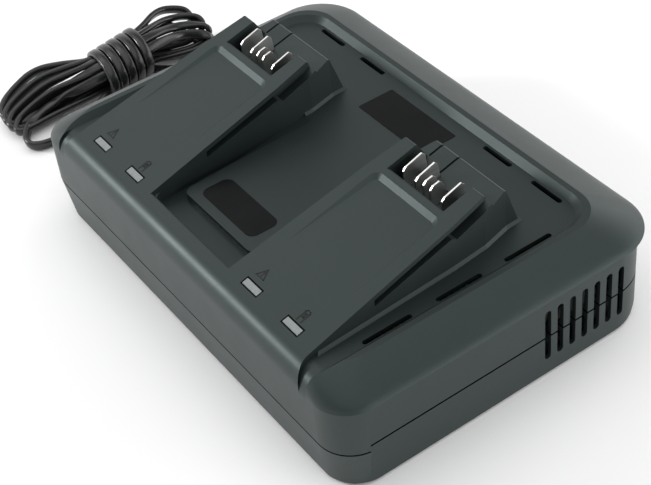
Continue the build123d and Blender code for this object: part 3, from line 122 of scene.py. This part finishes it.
table_half = 3.0
table_mesh = bpy.data.meshes.new("table_top")
table_corners = [(-table_half, -table_half, 0), (table_half, -table_half, 0),
                 (table_half, table_half, 0), (-table_half, table_half, 0)]
table_mesh.from_pydata(table_corners, [], [(0, 1, 2, 3)])
table_top = bpy.data.objects.new("table_top", table_mesh)
bpy.context.scene.collection.objects.link(table_top)
table_finish, table_nodes, table_links = shader_nodes("white_table")
table_out = table_nodes.new("ShaderNodeOutputMaterial")
table_paint = table_nodes.new("ShaderNodeBsdfPrincipled")
table_paint.inputs["Base Color"].default_value = (0.95, 0.95, 0.95, 1.0)
table_paint.inputs["Roughness"].default_value = 0.7
table_links.new(table_paint.outputs[0], table_out.inputs["Surface"])
table_top.data.materials.append(table_finish)


# Mains cord: a flat black twin cord with a vinyl sheath. It runs from the strain relief on the left side,
# near the back, is folded into five long loops, and its last stretch is wound round their middle and ends in
# the plug. The loops fan out where nothing ties them.
cord_width = 0.0066
cord_thickness = 0.0040
waist_middle = Vector((-0.2315, -0.0090, 0.0157))
waist_lean = -0.20
waist_half_width = 0.0145
waist_half_height = 0.0095
wrap_half_width = 0.0190
wrap_half_height = 0.0134
wrap_start_y = -0.0285
wrap_end_y = 0.0080
wrap_turns = 4.97
wrap_start_angle = -50.0
points_per_wrap = 12

relief_tip = (-0.1807, 0.0620, 0.0150)
lead_points = [(-0.1940, 0.0615, 0.0138), (-0.2080, 0.0585, 0.0096), (-0.2200, 0.0530, 0.0068),
               (-0.2310, 0.0465, 0.0055), (-0.2430, 0.0430, 0.0085), (-0.2530, 0.0350, 0.0150)]
tail_points = [(-0.2190, 0.0150, 0.0040), (-0.2140, 0.0229, 0.0038), (-0.2035, 0.03345, 0.0032),
               (-0.1885, 0.03345, 0.0038), (-0.1780, 0.0229, 0.0054), (-0.1780, 0.0080, 0.00685)]
# Of each loop: the angles at which it passes over and under the waist, its far left point, front end
# and return at the front, and its return, back end and far left point at the back.
over_angles = (165, 135, 105, 75, 42)
under_angles = (200, 228, 256, 284, 322)
front_left = [(-0.2595, 0.0185), (-0.2520, 0.0165), (-0.2445, 0.0150), (-0.2375, 0.0130), (-0.2300, 0.0105)]
front_end = [(-0.2430, -0.0935, 0.0060), (-0.2370, -0.0945, 0.0060), (-0.2310, -0.0945, 0.0055),
             (-0.2245, -0.0930, 0.0050), (-0.2090, -0.0930, 0.0040)]
front_right = [(-0.2360, 0.0040), (-0.2320, 0.0055), (-0.2280, 0.0040), (-0.2240, 0.0055), (-0.2020, 0.0035)]
back_right = [(-0.2380, 0.0040), (-0.2330, 0.0060), (-0.2280, 0.0040), (-0.2225, 0.0050)]
back_end = [(-0.2520, 0.0530, 0.0150), (-0.2400, 0.0560, 0.0140), (-0.2290, 0.0555, 0.0130),
            (-0.2220, 0.0525, 0.0100)]
back_left = [(-0.2600, 0.0220), (-0.2500, 0.0200), (-0.2400, 0.0185), (-0.2320, 0.0160)]


def round_waist(angle, y, half_width, half_height):
    """A point at an angle round the tied middle of the hank, which leans to the left at the back."""
    turn = math.radians(angle)
    x = waist_middle.x + waist_lean * (y - waist_middle.y) + half_width * math.cos(turn)
    return Vector((x, y, waist_middle.z + half_height * math.sin(turn)))


tie_back_y = 0.012
tie_middle_y = -0.008
tie_front_y = -0.027
under_back_y = 0.011
front_left_y = -0.060
front_right_y = -0.068
back_left_y = 0.034
back_right_y = 0.041
cord_route = [Vector(relief_tip)] + [Vector(p) for p in lead_points]
for loop, over in enumerate(over_angles):
    cord_route += [round_waist(over, y, waist_half_width, waist_half_height)
                   for y in (tie_back_y, tie_middle_y, tie_front_y)]
    left_x, left_z = front_left[loop]
    right_x, right_z = front_right[loop]
    tip = Vector(front_end[loop])
    left = Vector((left_x, front_left_y, left_z))
    right = Vector((right_x, front_right_y, right_z))
    below = under_angles[loop]
    under = round_waist(below, tie_front_y, waist_half_width, waist_half_height)
    shoulder = cord_route[-1].lerp(left, 0.6)
    cord_route += [Vector((shoulder.x, -0.043, shoulder.z)), left]
    cord_route += [Vector((left_x + 0.0015, -0.076, 0.6 * left_z + 0.4 * tip.z))]
    cord_route += [Vector((0.55 * left_x + 0.45 * tip.x, tip.y + 0.003, 0.75 * tip.z + 0.25 * left_z))]
    cord_route += [tip + Vector((0.001, -0.0015, 0.0))]
    cord_route += [Vector((0.3 * tip.x + 0.7 * right_x + 0.002, tip.y + 0.007, 0.5 * (tip.z + right_z)))]
    cord_route += [right, Vector((0.5 * (right_x + under.x), -0.046, 0.5 * (right_z + under.z))), under]
    if loop < len(back_end):
        low = round_waist(below, under_back_y, waist_half_width, waist_half_height)
        cord_route += [round_waist(below, tie_middle_y, waist_half_width, waist_half_height), low]
        right_x, right_z = back_right[loop]
        left_x, left_z = back_left[loop]
        tip = Vector(back_end[loop])
        cord_route += [Vector((0.4 * low.x + 0.6 * right_x, 0.026, 0.4 * low.z + 0.6 * right_z))]
        cord_route += [Vector((right_x, back_right_y, right_z))]
        cord_route += [Vector((0.6 * right_x + 0.4 * tip.x, tip.y - 0.001, 0.6 * right_z + 0.4 * tip.z))]
        cord_route += [tip + Vector((0.0, 0.001, 0.0))]
        cord_route += [Vector((0.5 * (tip.x + left_x), tip.y - 0.004, 0.5 * (tip.z + left_z)))]
        cord_route += [Vector((left_x, back_left_y, left_z))]
wrap_points = int(wrap_turns * points_per_wrap)
for step in range(wrap_points + 1):
    along = step / wrap_points
    cord_route.append(round_waist(wrap_start_angle + 360.0 * wrap_turns * along,
                                  wrap_start_y + (wrap_end_y - wrap_start_y) * along,
                                  wrap_half_width, wrap_half_height))
cord_route += [Vector(p) for p in tail_points]

route_curve = bpy.data.curves.new("cord_route", "CURVE")
route_curve.dimensions = "3D"
route_curve.resolution_u = 12
route_spline = route_curve.splines.new("NURBS")
route_spline.points.add(len(cord_route) - 1)
for point, place in zip(route_spline.points, cord_route):
    point.co = (*place, 1.0)
route_spline.order_u = 3
route_spline.use_endpoint_u = True
route_holder = bpy.data.objects.new("cord_route", route_curve)
route_line = bpy.data.meshes.new_from_object(route_holder)
cord_path = np.array([v.co[:] for v in route_line.vertices])
bpy.data.objects.remove(route_holder)

# The flat side of the cord faces away from the core of the hank, and lies level on the table elsewhere.
core_front = np.array((-0.2290, -0.0720, 0.0105))
core_waist = np.array(waist_middle[:])
core_back = np.array((-0.2400, 0.0360, 0.0120))


def nearest_on(a, b, points):
    share = np.clip(((points - a) @ (b - a)) / ((b - a) @ (b - a)), 0.0, 1.0)
    return a + share[:, None] * (b - a)


def unit(vectors):
    return vectors / np.linalg.norm(vectors, axis=1)[:, None]


def flat_tube(name, path, facing, width, thickness, sides=20):
    """A mesh tube with a flat oval section, its thin way along facing."""
    tangent = unit(np.gradient(path, axis=0))
    thin = unit(facing - (facing * tangent).sum(1)[:, None] * tangent)
    wide = np.cross(tangent, thin)
    straight = (width - thickness) / 2
    corners = []
    for side in range(sides):
        turn = 2 * math.pi * side / sides
        shift = straight if math.cos(turn) > 0 else -straight
        across = shift * min(1.0, 3 * abs(math.cos(turn))) + thickness / 2 * math.cos(turn)
        corners.append(path + wide * across + thin * thickness / 2 * math.sin(turn))
    rings = np.stack(corners, axis=1)
    vertices = [tuple(v) for v in rings.reshape(-1, 3)]
    faces = []
    for ring in range(len(path) - 1):
        for side in range(sides):
            a = ring * sides + side
            b = ring * sides + (side + 1) % sides
            faces.append((a, b, b + sides, a + sides))
    faces.append(tuple(range(sides))[::-1])
    faces.append(tuple((len(path) - 1) * sides + side for side in range(sides)))
    mesh = bpy.data.meshes.new(name)
    mesh.from_pydata(vertices, [], faces)
    mesh.validate()
    mesh.update()
    for face in mesh.polygons:
        face.use_smooth = len(face.vertices) == 4
    tube = bpy.data.objects.new(name, mesh)
    bpy.context.scene.collection.objects.link(tube)
    return tube


nearest_front = nearest_on(core_front, core_waist, cord_path)
nearest_back = nearest_on(core_waist, core_back, cord_path)
front_is_near = (np.linalg.norm(cord_path - nearest_front, axis=1)
                 < np.linalg.norm(cord_path - nearest_back, axis=1))
core_point = np.where(front_is_near[:, None], nearest_front, nearest_back)
outward = unit(cord_path - core_point)
steps = np.linalg.norm(np.diff(cord_path, axis=0), axis=1)
run = np.concatenate([[0.0], np.cumsum(steps)])
flat_lead_run = 0.045
flat_tail_run = 0.075
turning_run = 0.03
smoothing_passes = 12
level = np.array((0.0, 0.0, 1.0))
after_lead = np.clip((run - flat_lead_run) / turning_run, 0.0, 1.0)
before_tail = np.clip((run[-1] - flat_tail_run - run) / turning_run, 0.0, 1.0)
in_hank = after_lead * before_tail
facing = unit(outward * in_hank[:, None] + level * (1 - in_hank)[:, None])
for _ in range(smoothing_passes):
    facing[1:-1] = unit(facing[:-2] + 2 * facing[1:-1] + facing[2:])
mains_cord = flat_tube("mains_cord", cord_path, facing, cord_width, cord_thickness)


def moulded_plastic(name, colour, roughness, grain_size, grain_depth, speckle=0.12, tint=(1.0, 1.0, 1.0)):
    """Moulded plastic with a fine spark-eroded grain: a noise bump, and a faint change of colour and
    gloss from place to place."""
    material, tree, links = shader_nodes(name)
    out = tree.new("ShaderNodeOutputMaterial")
    shader = tree.new("ShaderNodeBsdfPrincipled")
    place = tree.new("ShaderNodeTexCoord")
    grain = tree.new("ShaderNodeTexNoise")
    grain.inputs["Scale"].default_value = 1.0 / grain_size
    grain.inputs["Detail"].default_value = 3.0
    cloud = tree.new("ShaderNodeTexNoise")
    cloud.inputs["Scale"].default_value = 45.0
    cloud.inputs["Detail"].default_value = 4.0
    bump = tree.new("ShaderNodeBump")
    bump.inputs["Strength"].default_value = 0.6
    bump.inputs["Distance"].default_value = grain_depth
    shade = tree.new("ShaderNodeValToRGB")
    shade.color_ramp.elements[0].position = 0.3
    shade.color_ramp.elements[1].position = 0.7
    shade.color_ramp.elements[0].color = (*[c * (1 - speckle) for c in colour], 1.0)
    shade.color_ramp.elements[1].color = (*[c * (1 + speckle) for c in colour], 1.0)
    gloss = tree.new("ShaderNodeMapRange")
    gloss.inputs["To Min"].default_value = roughness - 0.04
    gloss.inputs["To Max"].default_value = roughness + 0.05
    links.new(place.outputs["Object"], grain.inputs["Vector"])
    links.new(place.outputs["Object"], cloud.inputs["Vector"])
    links.new(grain.outputs["Fac"], bump.inputs["Height"])
    links.new(grain.outputs["Fac"], shade.inputs["Fac"])
    links.new(cloud.outputs["Fac"], gloss.inputs["Value"])
    links.new(shade.outputs["Color"], shader.inputs["Base Color"])
    links.new(gloss.outputs["Result"], shader.inputs["Roughness"])
    links.new(bump.outputs["Normal"], shader.inputs["Normal"])
    links.new(shader.outputs[0], out.inputs["Surface"])
    shader.inputs["Specular Tint"].default_value = (*tint, 1.0)
    return material


def finish_with(names, material):
    """These CAD pieces, or scene pieces, take this material all over."""
    for name in names:
        piece = nodes[name] if isinstance(name, str) else name
        piece.data.materials.clear()
        piece.data.materials.append(material)


cord_sheath = moulded_plastic("cord_sheath", (0.012, 0.0125, 0.013), 0.24, 0.0009, 0.00002, speckle=0.2)
finish_with([mains_cord], cord_sheath)
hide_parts("cord_lead", "cord_hank", "plug_lead")
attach(mains_cord, "housing")


# Housing: two shells of charcoal glass-filled nylon with a fine spark-eroded grain, screwed together
# from below. The seam between them and the grooves round the windows get painted shade: the finish there
# is turned matt black, in bands a little wider than the seam and the grooves.
# Where the painted shade goes: a band round the seam's height, and a frame round each window.
seam_middle_z = 0.0277
seam_shade_half_height = 0.0006
dock_x = 0.076
window_offset_x = 0.0178
window_line_y = -0.08915
shade_band_half_x = 0.0072
shade_band_half_y = 0.00265


def painted_groove_shade(material):
    """Paints shade into a shell's finish: matt black in the seam and in the grooves round the four windows.
    """
    tree, links = material.node_tree.nodes, material.node_tree.links
    place = tree.new("ShaderNodeTexCoord")
    axes = tree.new("ShaderNodeSeparateXYZ")
    links.new(place.outputs["Object"], axes.inputs[0])

    def worked(operation, source, value=0.0):
        step = tree.new("ShaderNodeMath")
        step.operation = operation
        links.new(source, step.inputs[0])
        if isinstance(value, float):
            step.inputs[1].default_value = value
        else:
            links.new(value, step.inputs[1])
        return step.outputs[0]

    def away_from(source, middle):
        return worked("ABSOLUTE", worked("SUBTRACT", source, middle))

    from_dock = away_from(worked("ABSOLUTE", axes.outputs["X"]), dock_x)
    near_x = worked("LESS_THAN", away_from(from_dock, window_offset_x), shade_band_half_x)
    near_y = worked("LESS_THAN", away_from(axes.outputs["Y"], window_line_y), shade_band_half_y)
    seam = worked("LESS_THAN", away_from(axes.outputs["Z"], seam_middle_z), seam_shade_half_height)
    # The painted shade itself: a near-black matt finish, mixed in where the bands fall.
    shade = tree.new("ShaderNodeBsdfPrincipled")
    shade.inputs["Base Color"].default_value = (0.002, 0.002, 0.002, 1.0)
    shade.inputs["Roughness"].default_value = 0.8
    shade.inputs["Specular IOR Level"].default_value = 0.1
    blend = tree.new("ShaderNodeMixShader")
    out = next(node for node in tree if node.type == "OUTPUT_MATERIAL")
    links.new(worked("MAXIMUM", worked("MULTIPLY", near_x, near_y), seam), blend.inputs[0])
    links.new(out.inputs["Surface"].links[0].from_socket, blend.inputs[1])
    links.new(shade.outputs[0], blend.inputs[2])
    links.new(blend.outputs[0], out.inputs["Surface"])


shell_plastic = moulded_plastic("shell_plastic", (0.011, 0.0155, 0.015), 0.42, 0.0005, 0.00004,
                                speckle=0.22, tint=(0.82, 1.0, 0.98))
painted_groove_shade(shell_plastic)
finish_with(["upper_housing", "lower_housing"], shell_plastic)


# Indicator windows: pale grey light pipes moulded in one clear grade with a faint grain, pressed into the
# ramps above green lamps that stand on the display boards.
lens_plastic = moulded_plastic("lens_plastic", (0.22, 0.24, 0.24), 0.30, 0.0012, 0.00001, speckle=0.1)
led_resin = moulded_plastic("led_resin", (0.25, 0.62, 0.30), 0.18, 0.0010, 0.00001, speckle=0.15)
led_resin.node_tree.nodes["Principled BSDF"].inputs["Transmission Weight"].default_value = 0.5
for side in ("left", "right"):
    finish_with([side + "_fault_window", side + "_charge_window"], lens_plastic)
finish_with(["indicator_leds"], led_resin)


# Signs by the windows: a warning triangle and a battery outline on each ramp, printed in fine dark lines
# that stand a little proud of the grain.
ramp_slope = 0.268
ramp_ref_y = -0.08925
ramp_ref_z = 0.0705
triangle_offset_x = -0.0195
triangle_y = -0.0806
battery_offset_x = 0.0177
battery_y = -0.0820
line_width = 0.00068
line_rise = 0.00012
triangle_sign = [((-3.1, -2.6), (3.1, -2.6)), ((3.1, -2.6), (0.0, 3.0)), ((0.0, 3.0), (-3.1, -2.6)),
                 ((0.0, -0.2), (0.0, 1.2)), ((0.0, -1.6), (0.0, -1.3))]
battery_sign = [((-1.7, -3.6), (-1.7, 2.4)), ((1.7, 2.4), (1.7, -3.6)), ((-1.7, 2.4), (-0.9, 3.3)),
                ((1.7, 2.4), (0.9, 3.3)), ((-0.9, 3.3), (0.9, 3.3)), ((-0.55, -1.0), (-0.55, 1.5)),
                ((0.55, -1.0), (0.55, 1.5)), ((-0.55, 1.5), (0.55, 1.5)), ((-0.55, -1.0), (0.55, -1.0))]


def ramp_sign(name, lines, x, y):
    """Fine raised lines on a ramp, given in mm across and up the slope from the sign's middle."""
    tilt = math.atan(ramp_slope)
    middle = Vector((x, y, ramp_ref_z + (y - ramp_ref_y) * ramp_slope))
    up_slope = Vector((0.0, math.cos(tilt), math.sin(tilt)))
    normal = Vector((0.0, -math.sin(tilt), math.cos(tilt)))
    vertices, faces = [], []
    for start, end in lines:
        first = middle + Vector((start[0] / 1000, 0, 0)) + up_slope * start[1] / 1000
        last = middle + Vector((end[0] / 1000, 0, 0)) + up_slope * end[1] / 1000
        along = (last - first).normalized() * line_width / 2
        aside = along.cross(normal)
        base = len(vertices)
        ends = (first - along - aside, first - along + aside, last + along + aside, last + along - aside)
        vertices += [corner + normal * lift for lift in (-line_rise, line_rise) for corner in ends]
        faces += [tuple(base + k for k in ring) for ring in
                  ((3, 2, 1, 0), (4, 5, 6, 7), (0, 1, 5, 4), (1, 2, 6, 5), (2, 3, 7, 6), (3, 0, 4, 7))]
    mesh = bpy.data.meshes.new(name)
    mesh.from_pydata(vertices, [], faces)
    mesh.update()
    sign = bpy.data.objects.new(name, mesh)
    bpy.context.scene.collection.objects.link(sign)
    return sign


sign_ink = moulded_plastic("sign_ink", (0.003, 0.0035, 0.0035), 0.7, 0.0006, 0.00001)
for side, middle_x in (("left", -dock_x), ("right", dock_x)):
    for sign in (ramp_sign(f"{side}_triangle_sign", triangle_sign, middle_x + triangle_offset_x, triangle_y),
                 ramp_sign(f"{side}_battery_sign", battery_sign, middle_x + battery_offset_x, battery_y)):
        finish_with([sign], sign_ink)
        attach(sign, "housing")


# Plates and feet: bare glossy black films let into the shells, on the floor, on the pad and under the base,
# and soft rubber pads pressed into the base at its corners.
plate_film = moulded_plastic("plate_film", (0.004, 0.0045, 0.005), 0.22, 0.004, 0.000004)
plate_film.node_tree.nodes["Principled BSDF"].inputs["Specular IOR Level"].default_value = 0.22
foot_rubber = moulded_plastic("foot_rubber", (0.02, 0.02, 0.02), 0.75, 0.0007, 0.00005, speckle=0.25)
finish_with(["name_plate", "badge_plate", "rating_plate"], plate_film)
finish_with(["rubber_feet"], foot_rubber)


# Contacts: blades stamped from strip, with a dull nickel plating brushed along their length, pressed into
# black moulded carriers at the bottom of each dock's recess.
def worked_metal(name, colour, roughness, streak, depth):
    """Metal with fine streaks: noise drawn out along some axes gives the shade, the gloss and the grain."""
    material, tree, links = shader_nodes(name)
    out = tree.new("ShaderNodeOutputMaterial")
    shader = tree.new("ShaderNodeBsdfPrincipled")
    place = tree.new("ShaderNodeTexCoord")
    stretch = tree.new("ShaderNodeMapping")
    stretch.inputs["Scale"].default_value = streak
    noise = tree.new("ShaderNodeTexNoise")
    noise.inputs["Scale"].default_value = 1.0
    noise.inputs["Detail"].default_value = 4.0
    shade = tree.new("ShaderNodeValToRGB")
    shade.color_ramp.elements[0].position = 0.3
    shade.color_ramp.elements[1].position = 0.7
    shade.color_ramp.elements[0].color = (*[c * 0.84 for c in colour], 1.0)
    shade.color_ramp.elements[1].color = (*colour, 1.0)
    gloss = tree.new("ShaderNodeMapRange")
    gloss.inputs["To Min"].default_value = roughness - 0.07
    gloss.inputs["To Max"].default_value = roughness + 0.07
    bump = tree.new("ShaderNodeBump")
    bump.inputs["Strength"].default_value = 0.5
    bump.inputs["Distance"].default_value = depth
    shader.inputs["Metallic"].default_value = 1.0
    links.new(place.outputs["Object"], stretch.inputs["Vector"])
    links.new(stretch.outputs["Vector"], noise.inputs["Vector"])
    links.new(noise.outputs["Fac"], shade.inputs["Fac"])
    links.new(noise.outputs["Fac"], gloss.inputs["Value"])
    links.new(noise.outputs["Fac"], bump.inputs["Height"])
    links.new(shade.outputs["Color"], shader.inputs["Base Color"])
    links.new(gloss.outputs["Result"], shader.inputs["Roughness"])
    links.new(bump.outputs["Normal"], shader.inputs["Normal"])
    links.new(shader.outputs[0], out.inputs["Surface"])
    return material


blade_metal = worked_metal("blade_metal", (0.80, 0.80, 0.78), 0.34, (300, 90, 1500), 0.00001)
carrier_plastic = moulded_plastic("carrier_plastic", (0.014, 0.018, 0.018), 0.45, 0.0006, 0.00003,
                                  speckle=0.25, tint=(0.82, 1.0, 0.98))
for side in ("left", "right"):
    finish_with([side + "_power_blades", side + "_signal_blades"], blade_metal)
    finish_with([side + "_contact_carrier"], carrier_plastic)


# Fasteners: zinc-plated steel screws with fine turning marks. They hold the case, the boards and the cord
# clamp.
screw_steel = worked_metal("screw_steel", (0.56, 0.56, 0.58), 0.33, (900, 900, 900), 0.00001)
finish_with(["housing_screws", "board_screws", "clamp_screws"], screw_steel)


# Circuit boards: green solder mask over copper tracks, which show as paler lines in a square pattern,
# with round tinned pads between them.
def circuit_laminate(name):
    material, tree, links = shader_nodes(name)
    out = tree.new("ShaderNodeOutputMaterial")
    shader = tree.new("ShaderNodeBsdfPrincipled")
    place = tree.new("ShaderNodeTexCoord")
    tracks = tree.new("ShaderNodeTexBrick")
    tracks.inputs["Scale"].default_value = 60.0
    tracks.inputs["Mortar Size"].default_value = 0.06
    tracks.inputs["Color1"].default_value = (0.012, 0.095, 0.036, 1.0)
    tracks.inputs["Color2"].default_value = (0.018, 0.125, 0.050, 1.0)
    tracks.inputs["Mortar"].default_value = (0.040, 0.230, 0.090, 1.0)
    pads = tree.new("ShaderNodeTexVoronoi")
    pads.inputs["Scale"].default_value = 210.0
    pads.inputs["Randomness"].default_value = 0.35
    pad_edge = tree.new("ShaderNodeMath")
    pad_edge.operation = "LESS_THAN"
    pad_edge.inputs[1].default_value = 0.16
    tinned = tree.new("ShaderNodeMix")
    tinned.data_type = "RGBA"
    tinned.inputs["B"].default_value = (0.42, 0.42, 0.40, 1.0)
    bump = tree.new("ShaderNodeBump")
    bump.inputs["Strength"].default_value = 0.5
    bump.inputs["Distance"].default_value = 0.00005
    shader.inputs["Roughness"].default_value = 0.35
    links.new(place.outputs["Object"], tracks.inputs["Vector"])
    links.new(place.outputs["Object"], pads.inputs["Vector"])
    links.new(pads.outputs["Distance"], pad_edge.inputs[0])
    links.new(pad_edge.outputs[0], tinned.inputs["Factor"])
    links.new(tracks.outputs["Color"], tinned.inputs["A"])
    links.new(tinned.outputs["Result"], shader.inputs["Base Color"])
    links.new(tracks.outputs["Fac"], bump.inputs["Height"])
    links.new(bump.outputs["Normal"], shader.inputs["Normal"])
    links.new(shader.outputs[0], out.inputs["Surface"])
    return material


board_laminate = circuit_laminate("board_laminate")
finish_with(["main_circuit_board", "left_display_board", "right_display_board"], board_laminate)


# Capacitors: aluminium cans in dark shrunk sleeves, and one film block in a moulded case, all soldered to
# the main board.
can_sleeve = moulded_plastic("can_sleeve", (0.015, 0.017, 0.055), 0.26, 0.003, 0.00002, speckle=0.2)
film_case = moulded_plastic("film_case", (0.42, 0.27, 0.04), 0.32, 0.002, 0.00002, speckle=0.1)
finish_with(["main_capacitor", "output_capacitors"], can_sleeve)
finish_with(["film_capacitor"], film_case)


# Semiconductors: packages moulded in black epoxy. The large ones are clamped to heat sinks of extruded
# aluminium, with the streaks of the die.
epoxy_black = moulded_plastic("black_moulding", (0.018, 0.018, 0.018), 0.55, 0.0008, 0.00004, speckle=0.2)
sink_aluminium = worked_metal("sink_aluminium", (0.66, 0.67, 0.68), 0.42, (60, 60, 2400), 0.00002)
finish_with(["bridge_rectifier", "control_chips", "power_transistors"], epoxy_black)
finish_with(["left_heat_sink", "right_heat_sink"], sink_aluminium)


# Coils: cores of sintered ferrite, a choke wound with enamelled copper wire, and a transformer whose winding
# is covered with yellow tape.
def wound_layers(name, colour, pitch, roughness, metallic, direction):
    """Turns of wire or tape laid side by side: a band wave gives their round ridges and dark joints."""
    material, tree, links = shader_nodes(name)
    out = tree.new("ShaderNodeOutputMaterial")
    shader = tree.new("ShaderNodeBsdfPrincipled")
    place = tree.new("ShaderNodeTexCoord")
    turns = tree.new("ShaderNodeTexWave")
    turns.bands_direction = direction
    turns.inputs["Scale"].default_value = 0.314 / pitch
    turns.inputs["Distortion"].default_value = 0.6
    shade = tree.new("ShaderNodeValToRGB")
    shade.color_ramp.elements[0].color = (*[c * 0.35 for c in colour], 1.0)
    shade.color_ramp.elements[1].color = (*colour, 1.0)
    bump = tree.new("ShaderNodeBump")
    bump.inputs["Strength"].default_value = 0.8
    bump.inputs["Distance"].default_value = pitch / 4
    shader.inputs["Roughness"].default_value = roughness
    shader.inputs["Metallic"].default_value = metallic
    links.new(place.outputs["Object"], turns.inputs["Vector"])
    links.new(turns.outputs["Fac"], shade.inputs["Fac"])
    links.new(turns.outputs["Fac"], bump.inputs["Height"])
    links.new(shade.outputs["Color"], shader.inputs["Base Color"])
    links.new(bump.outputs["Normal"], shader.inputs["Normal"])
    links.new(shader.outputs[0], out.inputs["Surface"])
    return material


ferrite = moulded_plastic("ferrite", (0.05, 0.05, 0.055), 0.5, 0.0010, 0.00005, speckle=0.3)
copper_winding = wound_layers("copper_winding", (0.62, 0.22, 0.08), 0.0010, 0.25, 1.0, "X")
winding_tape = wound_layers("winding_tape", (0.62, 0.46, 0.05), 0.0080, 0.35, 0.0, "Z")
finish_with(["choke_core", "transformer_core"], ferrite)
finish_with(["choke_winding"], copper_winding)
finish_with(["transformer_winding"], winding_tape)


# Fan: a square black frame and a seven-bladed rotor, both moulded in one slightly glossy grade, behind the
# vents on the right.
fan_plastic = moulded_plastic("fan_plastic", (0.016, 0.016, 0.017), 0.38, 0.0008, 0.00002, speckle=0.2)
finish_with(["fan_frame", "fan_rotor"], fan_plastic)


# Wiring: stranded leads in red and black vinyl, plugged into natural nylon sockets, and a ceramic fuse,
# all on the main board.
wire_red = moulded_plastic("wire_red", (0.38, 0.015, 0.012), 0.3, 0.0012, 0.00001, speckle=0.12)
wire_black = moulded_plastic("wire_black", (0.015, 0.015, 0.016), 0.3, 0.0012, 0.00001, speckle=0.2)
wire_blue = moulded_plastic("wire_blue", (0.014, 0.015, 0.018), 0.32, 0.0012, 0.00001, speckle=0.2)
socket_nylon = moulded_plastic("socket_nylon", (0.66, 0.63, 0.54), 0.4, 0.0009, 0.00002, speckle=0.06)
fuse_ceramic = moulded_plastic("fuse_glass", (0.72, 0.71, 0.68), 0.25, 0.0011, 0.00001, speckle=0.08)
finish_with(["left_dock_wires", "right_dock_wires"], wire_red)
finish_with(["fan_wires"], wire_black)
finish_with(["mains_leads"], wire_blue)
finish_with(["dock_sockets", "fan_socket", "mains_socket"], socket_nylon)
finish_with(["fuse"], fuse_ceramic)


# Cord fittings: a ribbed strain relief of soft vinyl in the left wall, a clamp screwed down inside, and a
# flat moulded plug with plated brass pins at the cord's far end.
relief_rubber = moulded_plastic("relief_rubber", (0.014, 0.015, 0.015), 0.42, 0.0008, 0.00003, speckle=0.2)
clamp_plastic = moulded_plastic("clamp_plastic", (0.018, 0.018, 0.018), 0.5, 0.0007, 0.00003, speckle=0.2)
plug_plastic = moulded_plastic("plug_plastic", (0.013, 0.0135, 0.014), 0.34, 0.0007, 0.00003, speckle=0.2)
pin_brass = worked_metal("pin_brass", (0.78, 0.74, 0.64), 0.22, (700, 120, 700), 0.000008)
finish_with(["strain_relief"], relief_rubber)
finish_with(["cord_clamp"], clamp_plastic)
finish_with(["plug_body"], plug_plastic)
finish_with(["plug_pins"], pin_brass)


bpy.context.scene.view_settings.view_transform = "Standard"
